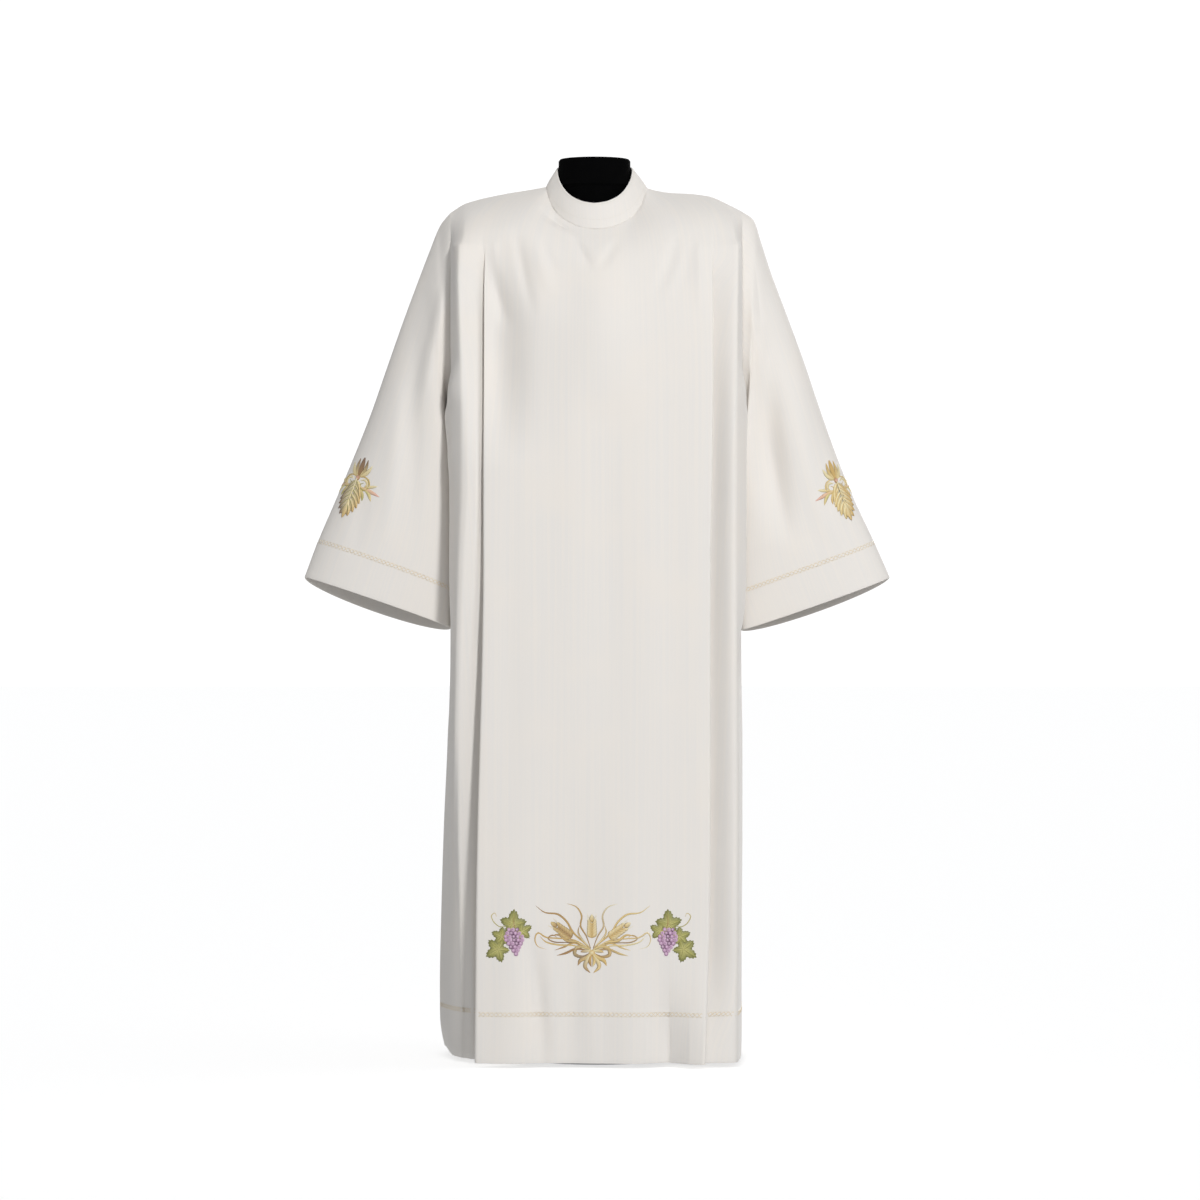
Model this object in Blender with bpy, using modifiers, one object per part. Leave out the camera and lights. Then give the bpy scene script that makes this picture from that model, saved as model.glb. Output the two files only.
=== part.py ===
"""An alb on a limbless dress form, in metres.

X points to the viewer's right, the front faces -Y and Z is up. The origin is on the floor, under the middle
of the form's round foot. Each cloth piece is a thin wall on a grid of points: the rows of a body panel run
from the shoulder down to the hem, its columns from the left seam across to the right one, and a sleeve or
collar is a tube of rings. Pieces that are sewn together share the points of their seam, where each wall is
cut back by half the seam gap.
"""

import math

import bpy
import bmesh
import numpy as np

COLLECTION_NAME = "alb_robe"

# cloth
WALL = 0.0016
COLLAR_WALL = 0.0022
PLACKET_WALL = 0.0010
SEAM_GAP = 0.0003
MITRE_LIMIT = 2.0

# where the body's rows and columns lie
HEM_HEIGHT = 0.008
SHOULDER_ROWS = 5
NECK_STEPS = 6
SHOULDER_COLUMNS = (0.104, 0.128, 0.150, 0.172)
NECK_AT_CHEST = 0.120
SHOULDER_AT_CHEST = (0.134, 0.149, 0.163, 0.177)
COLUMN_FAN = 0.8
SHOULDER_POINT = 0.254
PLEAT_TURN_STEPS = 4
PLEAT_FLAT_BEFORE = 0.007
PLEAT_FLAT_AFTER = 0.015
VALLEY_OFFSET = 0.0025
RIDGE_PARTS = (0.30, 1.00)
DIP_HALF_WIDTH = 0.160

# neck seam and collar rim: half width, reach to the front and to the back, and the middle's x
NECK_SEAM = {"half_width": 0.0865, "front": 0.082, "back": 0.068, "middle": 0.0}
COLLAR_RIM = {"half_width": 0.0655, "front": 0.068, "back": 0.060, "middle": -0.003}
COLLAR_ROWS = 4
COLLAR_SLIT = 0.0006
COLLAR_CUT_BACK = 0.0004

# the strip over the opening at the centre back
PLACKET_HALF_WIDTH = 0.013
PLACKET_TOP_SHARE = 0.25
PLACKET_END_HEIGHT = 1.120

# dress form
FORM_DROP = WALL / 2 + 0.0008
FORM_RING_POINTS = 36
NECK_BLOCK = {"half_width": 0.0625, "front": 0.054, "back": 0.050, "middle": -0.0035}
NECK_BLEND_POWER = 4
NECK_BLEND_HEIGHT = 1.10
RIDGE_FLAT = 0.001
RIDGE_FALL = 1.20
POLE_RADIUS = 0.016
BASE_RADIUS = 0.150
BASE_HEIGHT = 0.012
BASE_EDGE = 0.003

# base colour, roughness, metallic
FINISHES = {
    "ivory_cloth": ((0.80, 0.77, 0.72), 0.85, 0.0),
    "black_jersey": ((0.006, 0.006, 0.006), 0.9, 0.0),
    "steel": ((0.30, 0.30, 0.31), 0.35, 1.0),
}


def table(names, rows):
    """Columns of a short table by name."""
    return dict(zip(names.split(), np.array(rows, float).T))


# the shoulder line: distance out from the middle and height, on each side
SHOULDER = {
    -1: table("x z", [
        (0.0865, 1.5105),
        (0.104, 1.507),
        (0.166, 1.497),
        (0.227, 1.483),
        (0.254, 1.465),
    ]),
    1: table("x z", [
        (0.0865, 1.5085),
        (0.104, 1.5035),
        (0.128, 1.4998),
        (0.168, 1.4975),
        (0.194, 1.494),
        (0.234, 1.477),
        (0.254, 1.4665),
    ]),
}

# height of the neck seam and the collar's rim by angle, from 0 at the front to 180 at the back
NECK_LINE = table("angle seam rim", [
    (0, 1.430, 1.478),
    (15, 1.4328, 1.4800),
    (30, 1.441, 1.486),
    (45, 1.4535, 1.4955),
    (60, 1.470, 1.5085),
    (75, 1.4935, 1.524),
    (90, 1.510, 1.540),
    (135, 1.511, 1.551),
    (180, 1.508, 1.553),
])

# the sides of the body by height: side seam x, how far the seam sinks in beside the sleeve, and how far the
# armhole lies before and behind the middle
SIDES = table("z left right sunk armhole_front armhole_back", [
    (1.400, 0.2515, 0.2515, 0.0000, 0.045, 0.045),
    (1.350, 0.2515, 0.2515, 0.0000, 0.056, 0.056),
    (1.290, 0.2515, 0.2515, 0.0000, 0.063, 0.063),
    (1.230, 0.2515, 0.2515, 0.0000, 0.061, 0.061),
    (1.175, 0.2515, 0.2515, 0.0000, 0.047, 0.047),
    (1.140, 0.2515, 0.2515, 0.0000, 0.027, 0.027),
    (1.120, 0.2515, 0.2515, 0.0000, 0.000, 0.000),
    (1.000, 0.2540, 0.2520, 0.0100, 0.000, 0.000),
    (0.850, 0.2548, 0.2515, 0.0110, 0.000, 0.000),
    (0.700, 0.2549, 0.2520, 0.0060, 0.000, 0.000),
    (0.550, 0.2585, 0.2535, 0.0000, 0.000, 0.000),
    (0.400, 0.2650, 0.2535, 0.0000, 0.000, 0.000),
    (0.250, 0.2695, 0.2525, 0.0000, 0.000, 0.000),
    (0.120, 0.2720, 0.2520, 0.0000, 0.000, 0.000),
    (HEM_HEIGHT, 0.2700, 0.2520, 0.0000, 0.000, 0.000),
])
UNDERARM_HEIGHT = 1.120

# a panel by height: dip of its row at the middle, reach out at the middle and at the pleats' edges, and the x
# of the pleat's edge and of the ridge beside it on each side
LEVEL_NAMES = "z dip middle edge edge_left edge_right ridge_left ridge_right"
FRONT_LEVELS = table(LEVEL_NAMES, [
    (1.400, 0.055, 0.128, 0.108, 0.1910, 0.1983, 0.2330, 0.2400),
    (1.350, 0.045, 0.140, 0.128, 0.1918, 0.1983, 0.2310, 0.2380),
    (1.290, 0.030, 0.148, 0.142, 0.1922, 0.1983, 0.2265, 0.2360),
    (1.230, 0.015, 0.152, 0.148, 0.1922, 0.1983, 0.2223, 0.2350),
    (1.175, 0.005, 0.155, 0.151, 0.1922, 0.1983, 0.2205, 0.2350),
    (1.120, 0.000, 0.157, 0.153, 0.1922, 0.1980, 0.2200, 0.2350),
    (1.000, 0.000, 0.160, 0.156, 0.1921, 0.1965, 0.2200, 0.2345),
    (0.850, 0.000, 0.164, 0.160, 0.1919, 0.1936, 0.2270, 0.2340),
    (0.700, 0.000, 0.168, 0.164, 0.1940, 0.1936, 0.2330, 0.2340),
    (0.550, 0.000, 0.173, 0.169, 0.1978, 0.1935, 0.2350, 0.2345),
    (0.400, 0.000, 0.178, 0.174, 0.2018, 0.1933, 0.2378, 0.2350),
    (0.250, 0.000, 0.183, 0.180, 0.2040, 0.1920, 0.2385, 0.2350),
    (0.120, 0.000, 0.187, 0.184, 0.2050, 0.1880, 0.2385, 0.2345),
    (HEM_HEIGHT, 0.000, 0.190, 0.187, 0.2057, 0.1837, 0.2385, 0.2340),
])
BACK_LEVELS = table(LEVEL_NAMES, [
    (1.400, 0.000, 0.102, 0.092, 0.1910, 0.1983, 0.2170, 0.2230),
    (1.350, 0.000, 0.116, 0.110, 0.1905, 0.1960, 0.2200, 0.2250),
    (1.290, 0.000, 0.126, 0.121, 0.1900, 0.1940, 0.2230, 0.2260),
    (1.230, 0.000, 0.131, 0.126, 0.1895, 0.1920, 0.2240, 0.2260),
    (1.175, 0.000, 0.133, 0.128, 0.1892, 0.1905, 0.2250, 0.2265),
    (1.120, 0.000, 0.134, 0.129, 0.1890, 0.1890, 0.2260, 0.2270),
    (1.000, 0.000, 0.134, 0.129, 0.1885, 0.1870, 0.2270, 0.2280),
    (0.850, 0.000, 0.136, 0.131, 0.1885, 0.1860, 0.2290, 0.2290),
    (0.700, 0.000, 0.140, 0.135, 0.1895, 0.1855, 0.2310, 0.2300),
    (0.550, 0.000, 0.146, 0.141, 0.1920, 0.1855, 0.2340, 0.2310),
    (0.400, 0.000, 0.153, 0.148, 0.1945, 0.1860, 0.2370, 0.2320),
    (0.250, 0.000, 0.160, 0.155, 0.1965, 0.1865, 0.2390, 0.2330),
    (0.120, 0.000, 0.165, 0.160, 0.1980, 0.1870, 0.2400, 0.2330),
    (HEM_HEIGHT, 0.000, 0.168, 0.163, 0.1985, 0.1875, 0.2400, 0.2330),
])

# the pleats by height: depth, radius of the turns, and for each side how far the third layer lies behind the
# edge and how far the ridge stands before that layer; the left one rises early, in this share of the way
PLEAT_NAMES = "z tuck turn third_left third_right rise_left rise_right spread_left"
FRONT_PLEATS = table(PLEAT_NAMES, [
    (1.400, 0.000, 0.0014, 0.006, 0.006, 0.002, 0.001, 0.3),
    (1.350, 0.012, 0.0018, 0.008, 0.008, 0.004, 0.003, 0.3),
    (1.290, 0.022, 0.0020, 0.011, 0.010, 0.008, 0.006, 0.3),
    (1.230, 0.030, 0.0022, 0.014, 0.012, 0.011, 0.008, 0.3),
    (1.175, 0.036, 0.0024, 0.017, 0.013, 0.014, 0.010, 0.3),
    (1.120, 0.040, 0.0025, 0.019, 0.014, 0.016, 0.011, 0.3),
    (1.000, 0.045, 0.0028, 0.023, 0.015, 0.019, 0.012, 0.3),
    (0.850, 0.050, 0.0030, 0.029, 0.016, 0.020, 0.012, 0.4),
    (0.700, 0.052, 0.0035, 0.038, 0.017, 0.018, 0.012, 0.6),
    (0.550, 0.055, 0.0038, 0.045, 0.018, 0.015, 0.011, 0.9),
    (0.400, 0.058, 0.0042, 0.052, 0.020, 0.012, 0.010, 1.0),
    (0.250, 0.060, 0.0046, 0.058, 0.022, 0.010, 0.010, 1.0),
    (0.120, 0.060, 0.0050, 0.062, 0.024, 0.010, 0.010, 1.0),
    (HEM_HEIGHT, 0.060, 0.0054, 0.065, 0.025, 0.010, 0.010, 1.0),
])
BACK_PLEATS = table(PLEAT_NAMES, [
    (1.400, 0.000, 0.0014, 0.006, 0.006, 0.002, 0.000, 1.0),
    (1.350, 0.010, 0.0018, 0.008, 0.008, 0.003, 0.000, 1.0),
    (1.290, 0.018, 0.0022, 0.011, 0.011, 0.004, 0.000, 1.0),
    (1.230, 0.024, 0.0025, 0.013, 0.013, 0.004, 0.001, 1.0),
    (1.175, 0.028, 0.0027, 0.015, 0.015, 0.005, 0.001, 1.0),
    (1.120, 0.032, 0.0029, 0.016, 0.016, 0.005, 0.001, 1.0),
    (1.000, 0.036, 0.0032, 0.019, 0.019, 0.006, 0.001, 1.0),
    (0.850, 0.040, 0.0038, 0.023, 0.023, 0.007, 0.002, 1.0),
    (0.700, 0.042, 0.0045, 0.028, 0.028, 0.007, 0.002, 1.0),
    (0.550, 0.044, 0.0055, 0.033, 0.033, 0.008, 0.003, 1.0),
    (0.400, 0.046, 0.0065, 0.038, 0.038, 0.009, 0.003, 1.0),
    (0.250, 0.048, 0.0075, 0.043, 0.043, 0.009, 0.004, 1.0),
    (0.120, 0.050, 0.0080, 0.047, 0.047, 0.010, 0.004, 1.0),
    (HEM_HEIGHT, 0.050, 0.0085, 0.050, 0.050, 0.010, 0.004, 1.0),
])

# the way from the ridge back to the side seam: how far out and how far back it has gone, as shares
ROLL = table("out back", [
    (0.28, 0.03),
    (0.60, 0.25),
    (0.86, 0.62),
    (1.00, 1.00),
])

# soft flutes of the panels: the x of each at the hem and higher up, half width, rise and the height where
# it ends
FLUTE_NAMES = "x_hem x_top half_width rise top"
FRONT_FLUTES = table(FLUTE_NAMES, [
    (-0.150, -0.120, 0.060, 0.006, 0.70),
    (-0.045, -0.030, 0.050, -0.006, 0.55),
    (0.060, 0.050, 0.060, 0.006, 0.65),
    (0.184, 0.180, 0.055, 0.018, 0.24),
])
BACK_FLUTES = table(FLUTE_NAMES, [
    (-0.120, -0.080, 0.060, 0.012, 0.85),
    (-0.010, 0.000, 0.055, -0.010, 0.75),
    (0.105, 0.070, 0.060, 0.013, 0.95),
])

PANELS = {
    "front": (FRONT_LEVELS, FRONT_PLEATS, FRONT_FLUTES),
    "back": (BACK_LEVELS, BACK_PLEATS, BACK_FLUTES),
}

# fall of the cloth where it leaves its upper edge: at the shoulder point, beside the neck and at the middle
SHOULDER_SLOPES = {"front": (0.15, 0.55, 1.30), "back": (0.12, 0.30, 0.70)}

# where the side of the hem lifts off: x where the lift begins and its height at the side seam
HEM_LIFT = {-1: (0.244, 0.026), 1: (0.244, 0.004)}

# a sleeve by its length, from 0 at the armhole to 1 at the cuff: the x and height of its upper fold and of
# its lower one on each side, and its half depth
SLEEVE = table("share left_x left_z right_x right_z low_left_x low_left_z low_right_x low_right_z depth", [
    (0.000, 0.2540, 1.4650, 0.2540, 1.4665, 0.2515, 1.120, 0.2515, 1.120, 0.063),
    (0.035, 0.2706, 1.4445, 0.2720, 1.4540, 0.2610, 1.116, 0.2605, 1.116, 0.068),
    (0.100, 0.2897, 1.3990, 0.2860, 1.4140, 0.2590, 1.100, 0.2585, 1.100, 0.071),
    (0.180, 0.3090, 1.3486, 0.3010, 1.3670, 0.2545, 1.064, 0.2535, 1.064, 0.071),
    (0.300, 0.3370, 1.2730, 0.3300, 1.2890, 0.2515, 1.014, 0.2500, 1.014, 0.068),
    (0.420, 0.3635, 1.1974, 0.3580, 1.2130, 0.2505, 0.966, 0.2485, 0.966, 0.065),
    (0.550, 0.3920, 1.1155, 0.3860, 1.1300, 0.2503, 0.916, 0.2482, 0.916, 0.062),
    (0.680, 0.4245, 1.0336, 0.4160, 1.0450, 0.2505, 0.866, 0.2485, 0.866, 0.059),
    (0.800, 0.4565, 0.9580, 0.4480, 0.9660, 0.2510, 0.820, 0.2490, 0.820, 0.056),
    (0.900, 0.4835, 0.8950, 0.4795, 0.8990, 0.2520, 0.782, 0.2500, 0.781, 0.053),
    (1.000, 0.5070, 0.8320, 0.5090, 0.8320, 0.2535, 0.744, 0.2515, 0.741, 0.050),
])
SLEEVE_SETTLE = 0.30
# how boxy a sleeve's section is: the smaller, the fuller beside its folds
SLEEVE_ROUNDNESS = {-1: 0.75, 1: 0.50}
# how far the cuff's edge hangs below the straight line between its corners
CUFF_SAG = {-1: {"front": -0.004, "back": 0.021}, 1: {"front": 0.003, "back": 0.016}}
CUFF_SAG_START = 0.45

# the dress form by height: half width, and reach to the front and to the back
FORM_LEVELS = table("z half_width front back", [
    (0.780, 0.140, 0.086, 0.094),
    (0.788, 0.152, 0.095, 0.104),
    (0.830, 0.164, 0.102, 0.114),
    (0.890, 0.169, 0.104, 0.118),
    (0.980, 0.157, 0.098, 0.108),
    (1.060, 0.140, 0.092, 0.095),
    (1.160, 0.150, 0.105, 0.098),
    (1.260, 0.168, 0.117, 0.105),
    (1.340, 0.180, 0.108, 0.100),
    (1.390, 0.189, 0.090, 0.084),
    (1.425, 0.196, 0.068, 0.068),
    (1.450, 0.2015, 0.048, 0.054),
    (1.472, 0.2000, 0.034, 0.042),
])
# reach of the form's shoulders to the front and to the back, by distance out from the middle
FORM_SHOULDER = table("x front back", [
    (0.082, 0.010, 0.012),
    (0.104, 0.014, 0.016),
    (0.128, 0.016, 0.019),
    (0.150, 0.018, 0.022),
    (0.172, 0.020, 0.025),
    (0.188, 0.022, 0.028),
])
# the form's neck: height, and width against the neck block's
FORM_NECK = table("z scale", [
    (1.512, 1.06),
    (1.520, 1.02),
    (1.532, 1.00),
    (1.555, 1.00),
    (1.558, 0.96),
])

LEFT = -1
RIGHT = 1
SIDE_NAMES = {LEFT: "left", RIGHT: "right"}


def at(columns, name, where, key="z"):
    """A table's column, read at one place along its key column."""
    order = np.argsort(columns[key])
    return float(np.interp(where, columns[key][order], columns[name][order]))


def smooth(share):
    """0 to 1 with soft ends."""
    share = min(max(share, 0.0), 1.0)
    return share * share * (3 - 2 * share)


def unit(vectors):
    """Vectors at length one."""
    length = np.linalg.norm(vectors, axis=-1, keepdims=True)
    return vectors / np.maximum(length, 1e-12)


# ---------------------------------------------------------------- the lines that pieces share


def neck_point(oval, column, angle, side):
    """A point of the neck seam or the rim, by its angle from the front."""
    turn = math.radians(angle)
    reach = oval["front"] if angle <= 90 else oval["back"]
    x = oval["middle"] + side * oval["half_width"] * math.sin(turn)
    return np.array([x, -reach * math.cos(turn), at(NECK_LINE, column, angle, "angle")])


def top_row(face, side):
    """Half of a panel's upper edge: the neck seam from the middle out, then the shoulder seam."""
    points = []
    for step in range(NECK_STEPS + 1):
        turn = 90 * step / NECK_STEPS
        angle = turn if face == "front" else 180 - turn
        points.append(neck_point(NECK_SEAM, "seam", angle, side))
    points[-1] = np.array([side * NECK_SEAM["half_width"], 0.0, SHOULDER[side]["z"][0]])
    edge = at(FRONT_LEVELS, "edge_" + SIDE_NAMES[side], FRONT_LEVELS["z"][0])
    pleat = np.linspace(edge - PLEAT_FLAT_BEFORE, edge + PLEAT_FLAT_AFTER, 2 * PLEAT_TURN_STEPS + 3)
    strip = np.linspace(pleat[-1], SHOULDER_POINT, len(RIDGE_PARTS) + len(ROLL["out"]) + 1)[1:]
    for out in [*SHOULDER_COLUMNS, *pleat, *strip]:
        points.append(np.array([side * out, 0.0, at(SHOULDER[side], "z", out, "x")]))
    return points


def flute_rise(flutes, x, height):
    """How far the flutes push a panel out at one point."""
    rise = 0.0
    for x_hem, x_top, half_width, depth, top in zip(*(flutes[name] for name in FLUTE_NAMES.split())):
        share = (height - HEM_HEIGHT) / (top - HEM_HEIGHT)
        across = (x - (x_hem + (x_top - x_hem) * share)) / half_width
        if share < 1 and abs(across) < 1:
            rise += depth * smooth(1 - share) * math.cos(across * math.pi / 2) ** 2
    return rise


def level_row(face, side, height):
    """Half of a panel's row at one height, from the middle out to the seam, as x, y and z."""
    levels, pleats, flutes = PANELS[face]
    forward = -1 if face == "front" else 1
    value = {name: at(columns, name, height) for columns in (levels, pleats) for name in columns}
    edge = value["edge_" + SIDE_NAMES[side]]
    ridge = value["ridge_" + SIDE_NAMES[side]]
    seam = at(SIDES, SIDE_NAMES[side], height)
    sunk = at(SIDES, "sunk", height)
    seam_reach = at(SIDES, "armhole_" + face, height)
    scale = edge / at(levels, "edge_" + SIDE_NAMES[side], levels["z"][0])
    turn = value["turn"]

    out = [NECK_AT_CHEST * scale * step / NECK_STEPS for step in range(NECK_STEPS + 1)]
    out += [column * scale for column in SHOULDER_AT_CHEST]
    flat_end = edge - turn
    across = [(x, value["middle"] + (value["edge"] - value["middle"]) * (x / edge) ** 2) for x in out]

    # the pleat: out to its edge, round and back in, round again and out behind
    back_reach = value["edge"] - value["third_" + SIDE_NAMES[side]]
    valley = edge + VALLEY_OFFSET
    for step in range(PLEAT_TURN_STEPS + 1):
        angle = math.pi * step / PLEAT_TURN_STEPS
        across.append((flat_end + turn * math.sin(angle), value["edge"] - turn + turn * math.cos(angle)))
    inner = flat_end - value["tuck"]
    for step in range(PLEAT_TURN_STEPS + 1):
        angle = math.pi * step / PLEAT_TURN_STEPS
        across.append((inner - turn * math.sin(angle), back_reach + turn + turn * math.cos(angle)))
    across.append((valley, back_reach))

    # the ridge beside the pleat, and the roll from it back to the seam
    spread = value["spread_left"] if side == LEFT else 1.0
    rise = value["rise_" + SIDE_NAMES[side]]
    for part in RIDGE_PARTS:
        across.append((valley + (ridge - valley) * part, back_reach + rise * smooth(part / spread)))
    for out_share, back_share in zip(ROLL["out"], ROLL["back"]):
        inward = sunk if out_share == 1 else 0.0
        across.append((ridge + (seam - ridge) * out_share - inward,
                       back_reach + rise - (back_reach + rise - seam_reach) * back_share))

    lift_start, lift = HEM_LIFT[side]
    points = []
    for x, reach in across:
        bump = flute_rise(flutes, side * x, height) if reach > seam_reach else 0.0
        dip = value["dip"] * max(0.0, 1 - (x / DIP_HALF_WIDTH) ** 2) ** 2
        rise = lift * smooth((x - lift_start) / (seam - lift_start)) if height == HEM_HEIGHT else 0.0
        points.append(np.array([side * x, forward * (reach + bump), height - dip + rise]))
    return points


def shoulder_rows(face, top, chest):
    """The rows between the upper edge and the chest: each column rolls over the shoulder."""
    forward = -1 if face == "front" else 1
    rows = []
    for step in range(1, SHOULDER_ROWS):
        share = step / SHOULDER_ROWS
        weights = ((1 - share) ** 3, 3 * share * (1 - share) ** 2, 3 * share ** 2 * (1 - share), share ** 3)
        row = []
        for upper, lower in zip(top, chest):
            at_neck = max(0.0, 1 - (upper[0] / NECK_SEAM["half_width"]) ** 2)
            near_neck = smooth((SHOULDER_POINT - abs(upper[0])) / (SHOULDER_POINT - NECK_SEAM["half_width"]))
            flat, neck_side, neck_middle = SHOULDER_SLOPES[face]
            slope = flat + (neck_side - flat) * near_neck + (neck_middle - neck_side) * at_neck
            ahead = 0.5 * abs(lower[1] - upper[1])
            fall = upper[2] - lower[2]
            first = upper + np.array([0.0, forward * ahead, -min(slope * ahead, 0.6 * fall)])
            last = lower + np.array([0.0, 0.0, 0.45 * fall])
            fan = smooth((SHOULDER_COLUMNS[-1] - abs(upper[0])) / (SHOULDER_COLUMNS[-1] - SHOULDER_COLUMNS[0]))
            first[0] += COLUMN_FAN * fan * (lower[0] - upper[0])
            row.append(weights[0] * upper + weights[1] * first + weights[2] * last + weights[3] * lower)
        rows.append(row)
    return rows


def body_panel(face):
    """A whole panel: rows from the shoulder to the hem, columns from the left seam to the right."""
    halves = {}
    for side in (LEFT, RIGHT):
        top = top_row(face, side)
        levels = [level_row(face, side, height) for height in SIDES["z"]]
        halves[side] = [top, *shoulder_rows(face, top, levels[0]), *levels]
    return np.array([left[:0:-1] + right for left, right in zip(halves[LEFT], halves[RIGHT])])


def sleeve(side, front, back):
    """A sleeve: rings from the armhole, whose points it shares with both panels, down to the cuff."""
    column = 0 if side == LEFT else -1
    last = SHOULDER_ROWS + list(SIDES["z"]).index(UNDERARM_HEIGHT)
    armhole = np.concatenate([front[:last + 1, column], back[last - 1:0:-1, column]])
    count = len(armhole)
    name = SIDE_NAMES[side]
    rings = [armhole]
    for index, share in enumerate(SLEEVE["share"][1:], 1):
        upper = np.array([side * SLEEVE[name + "_x"][index], 0.0, SLEEVE[name + "_z"][index]])
        lower = np.array([side * SLEEVE[f"low_{name}_x"][index], 0.0, SLEEVE[f"low_{name}_z"][index]])
        along = unit(np.array([upper[2] - lower[2], 0.0, lower[0] - upper[0]]) * side)
        settled = smooth(share / SLEEVE_SETTLE)
        sag = smooth((share - CUFF_SAG_START) / (1 - CUFF_SAG_START))
        ring = []
        for place, point in enumerate(armhole):
            angle = 2 * math.pi * place / count
            at_armhole = (armhole[0][2] - point[2]) / (armhole[0][2] - UNDERARM_HEIGHT)
            down = at_armhole + ((1 - math.cos(angle)) / 2 - at_armhole) * settled
            swell = math.copysign(abs(math.sin(angle)) ** SLEEVE_ROUNDNESS[side], math.sin(angle))
            depth = point[1] * 1.08 + (-SLEEVE["depth"][index] * swell - point[1] * 1.08) * settled
            drop = sag * abs(math.sin(angle)) * CUFF_SAG[side]["front" if depth < 0 else "back"]
            ring.append(upper + (lower - upper) * down + np.array([0.0, depth, 0.0]) + along * drop)
        rings.append(np.array(ring))
    return np.array(rings)


def collar(front, back):
    """The stand collar: rings from the neck seam up to the rim, open at the centre back."""
    middle = front.shape[1] // 2
    right_front = front[0, middle:middle + NECK_STEPS + 1]
    right_back = back[0, middle:middle + NECK_STEPS][::-1]
    left_front = front[0, middle - NECK_STEPS:middle]
    left_back = back[0, middle - NECK_STEPS + 1:middle + 1][::-1]
    seam = np.concatenate([left_back, left_front, right_front, right_back])
    angles = np.linspace(-180, 180, len(seam))
    rim = np.array([neck_point(COLLAR_RIM, "rim", abs(angle), math.copysign(1, angle)) for angle in angles])
    return np.array([seam + (rim - seam) * row / (COLLAR_ROWS - 1) for row in range(COLLAR_ROWS)])


# ---------------------------------------------------------------- walls on the grids


def grid_normals(points, closed):
    """Normals of a grid; the columns of a closed one run round."""
    if closed:
        across = np.roll(points, -1, axis=1) - np.roll(points, 1, axis=1)
    else:
        across = np.gradient(points, axis=1)
    down = np.gradient(points, axis=0)
    return unit(np.cross(across, down))


def make_piece(group, points, outward, closed=False, sewn=("top",), cut_back=SEAM_GAP / 2):
    """A grid with normals turned to its outside; pieces of one group run smoothly into each other."""
    normals = grid_normals(points, closed)
    if np.sum(normals * outward) < 0:
        normals = -normals
    return {"group": group, "points": points.copy(), "normals": normals, "closed": closed, "sewn": sewn,
            "cut_back": cut_back}


def edge_slices(piece):
    """The grid's sewn edges and the neighbours inside them, as index pairs."""
    found = {
        "top": (np.s_[0, :], np.s_[1, :]),
        "left": (np.s_[:, 0], np.s_[:, 1]),
        "right": (np.s_[:, -1], np.s_[:, -2]),
    }
    return [found[name] for name in piece["sewn"]]


def point_key(point):
    """A place, rounded so that the same point of two pieces is found."""
    return tuple(np.round(point, 7))


def inset(points, normals, inside, closed):
    """The move that takes an edge one unit into its piece, square to both stretches at each corner."""
    ahead = np.roll(points, -1, axis=0) - points
    if not closed:
        ahead[-1] = ahead[-2]
    behind = np.roll(ahead, 1, axis=0)
    if not closed:
        behind[0] = ahead[0]
    inward = []
    for along in (behind, ahead):
        square = unit(np.cross(along, normals))
        facing = np.sum(square * (inside - points), axis=1, keepdims=True)
        inward.append(square * np.where(facing < 0, -1, 1))
    lean = np.sum(inward[0] * inward[1], axis=1, keepdims=True)
    return (inward[0] + inward[1]) / np.maximum(1 + lean, 0.5)


def sew(pieces):
    """Give shared seam points one mitred normal, then cut each piece back by half the seam gap."""
    by_group = {}
    for piece in pieces:
        for edge, _ in edge_slices(piece):
            for point, normal in zip(piece["points"][edge], piece["normals"][edge]):
                groups = by_group.setdefault(point_key(point), {})
                groups[piece["group"]] = groups.get(piece["group"], np.zeros(3)) + normal
    shared = {key: sum(unit(normal) for normal in groups.values()) for key, groups in by_group.items()}
    for piece in pieces:
        piece["mitre"] = np.ones(piece["points"].shape[:2])
        moves = np.zeros_like(piece["points"])
        for edge, inside in edge_slices(piece):
            points = piece["points"][edge]
            normals = unit(np.array([shared[point_key(point)] for point in points]))
            lean = np.sum(normals * piece["normals"][edge], axis=1)
            piece["mitre"][edge] = np.minimum(1 / np.maximum(lean, 0.1), MITRE_LIMIT)
            piece["seam_normals"] = piece.get("seam_normals", []) + [(edge, normals)]
            moves[edge] += inset(points, normals, piece["points"][inside], piece["closed"]) * piece["cut_back"]
        for edge, normals in piece["seam_normals"]:
            piece["normals"][edge] = normals
        piece["points"] += moves


def wall_sides(piece, thickness):
    """The outer and inner points of a piece's wall."""
    offset = piece["normals"] * (piece["mitre"] * thickness / 2)[..., None]
    return piece["points"] + offset, piece["points"] - offset


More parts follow.
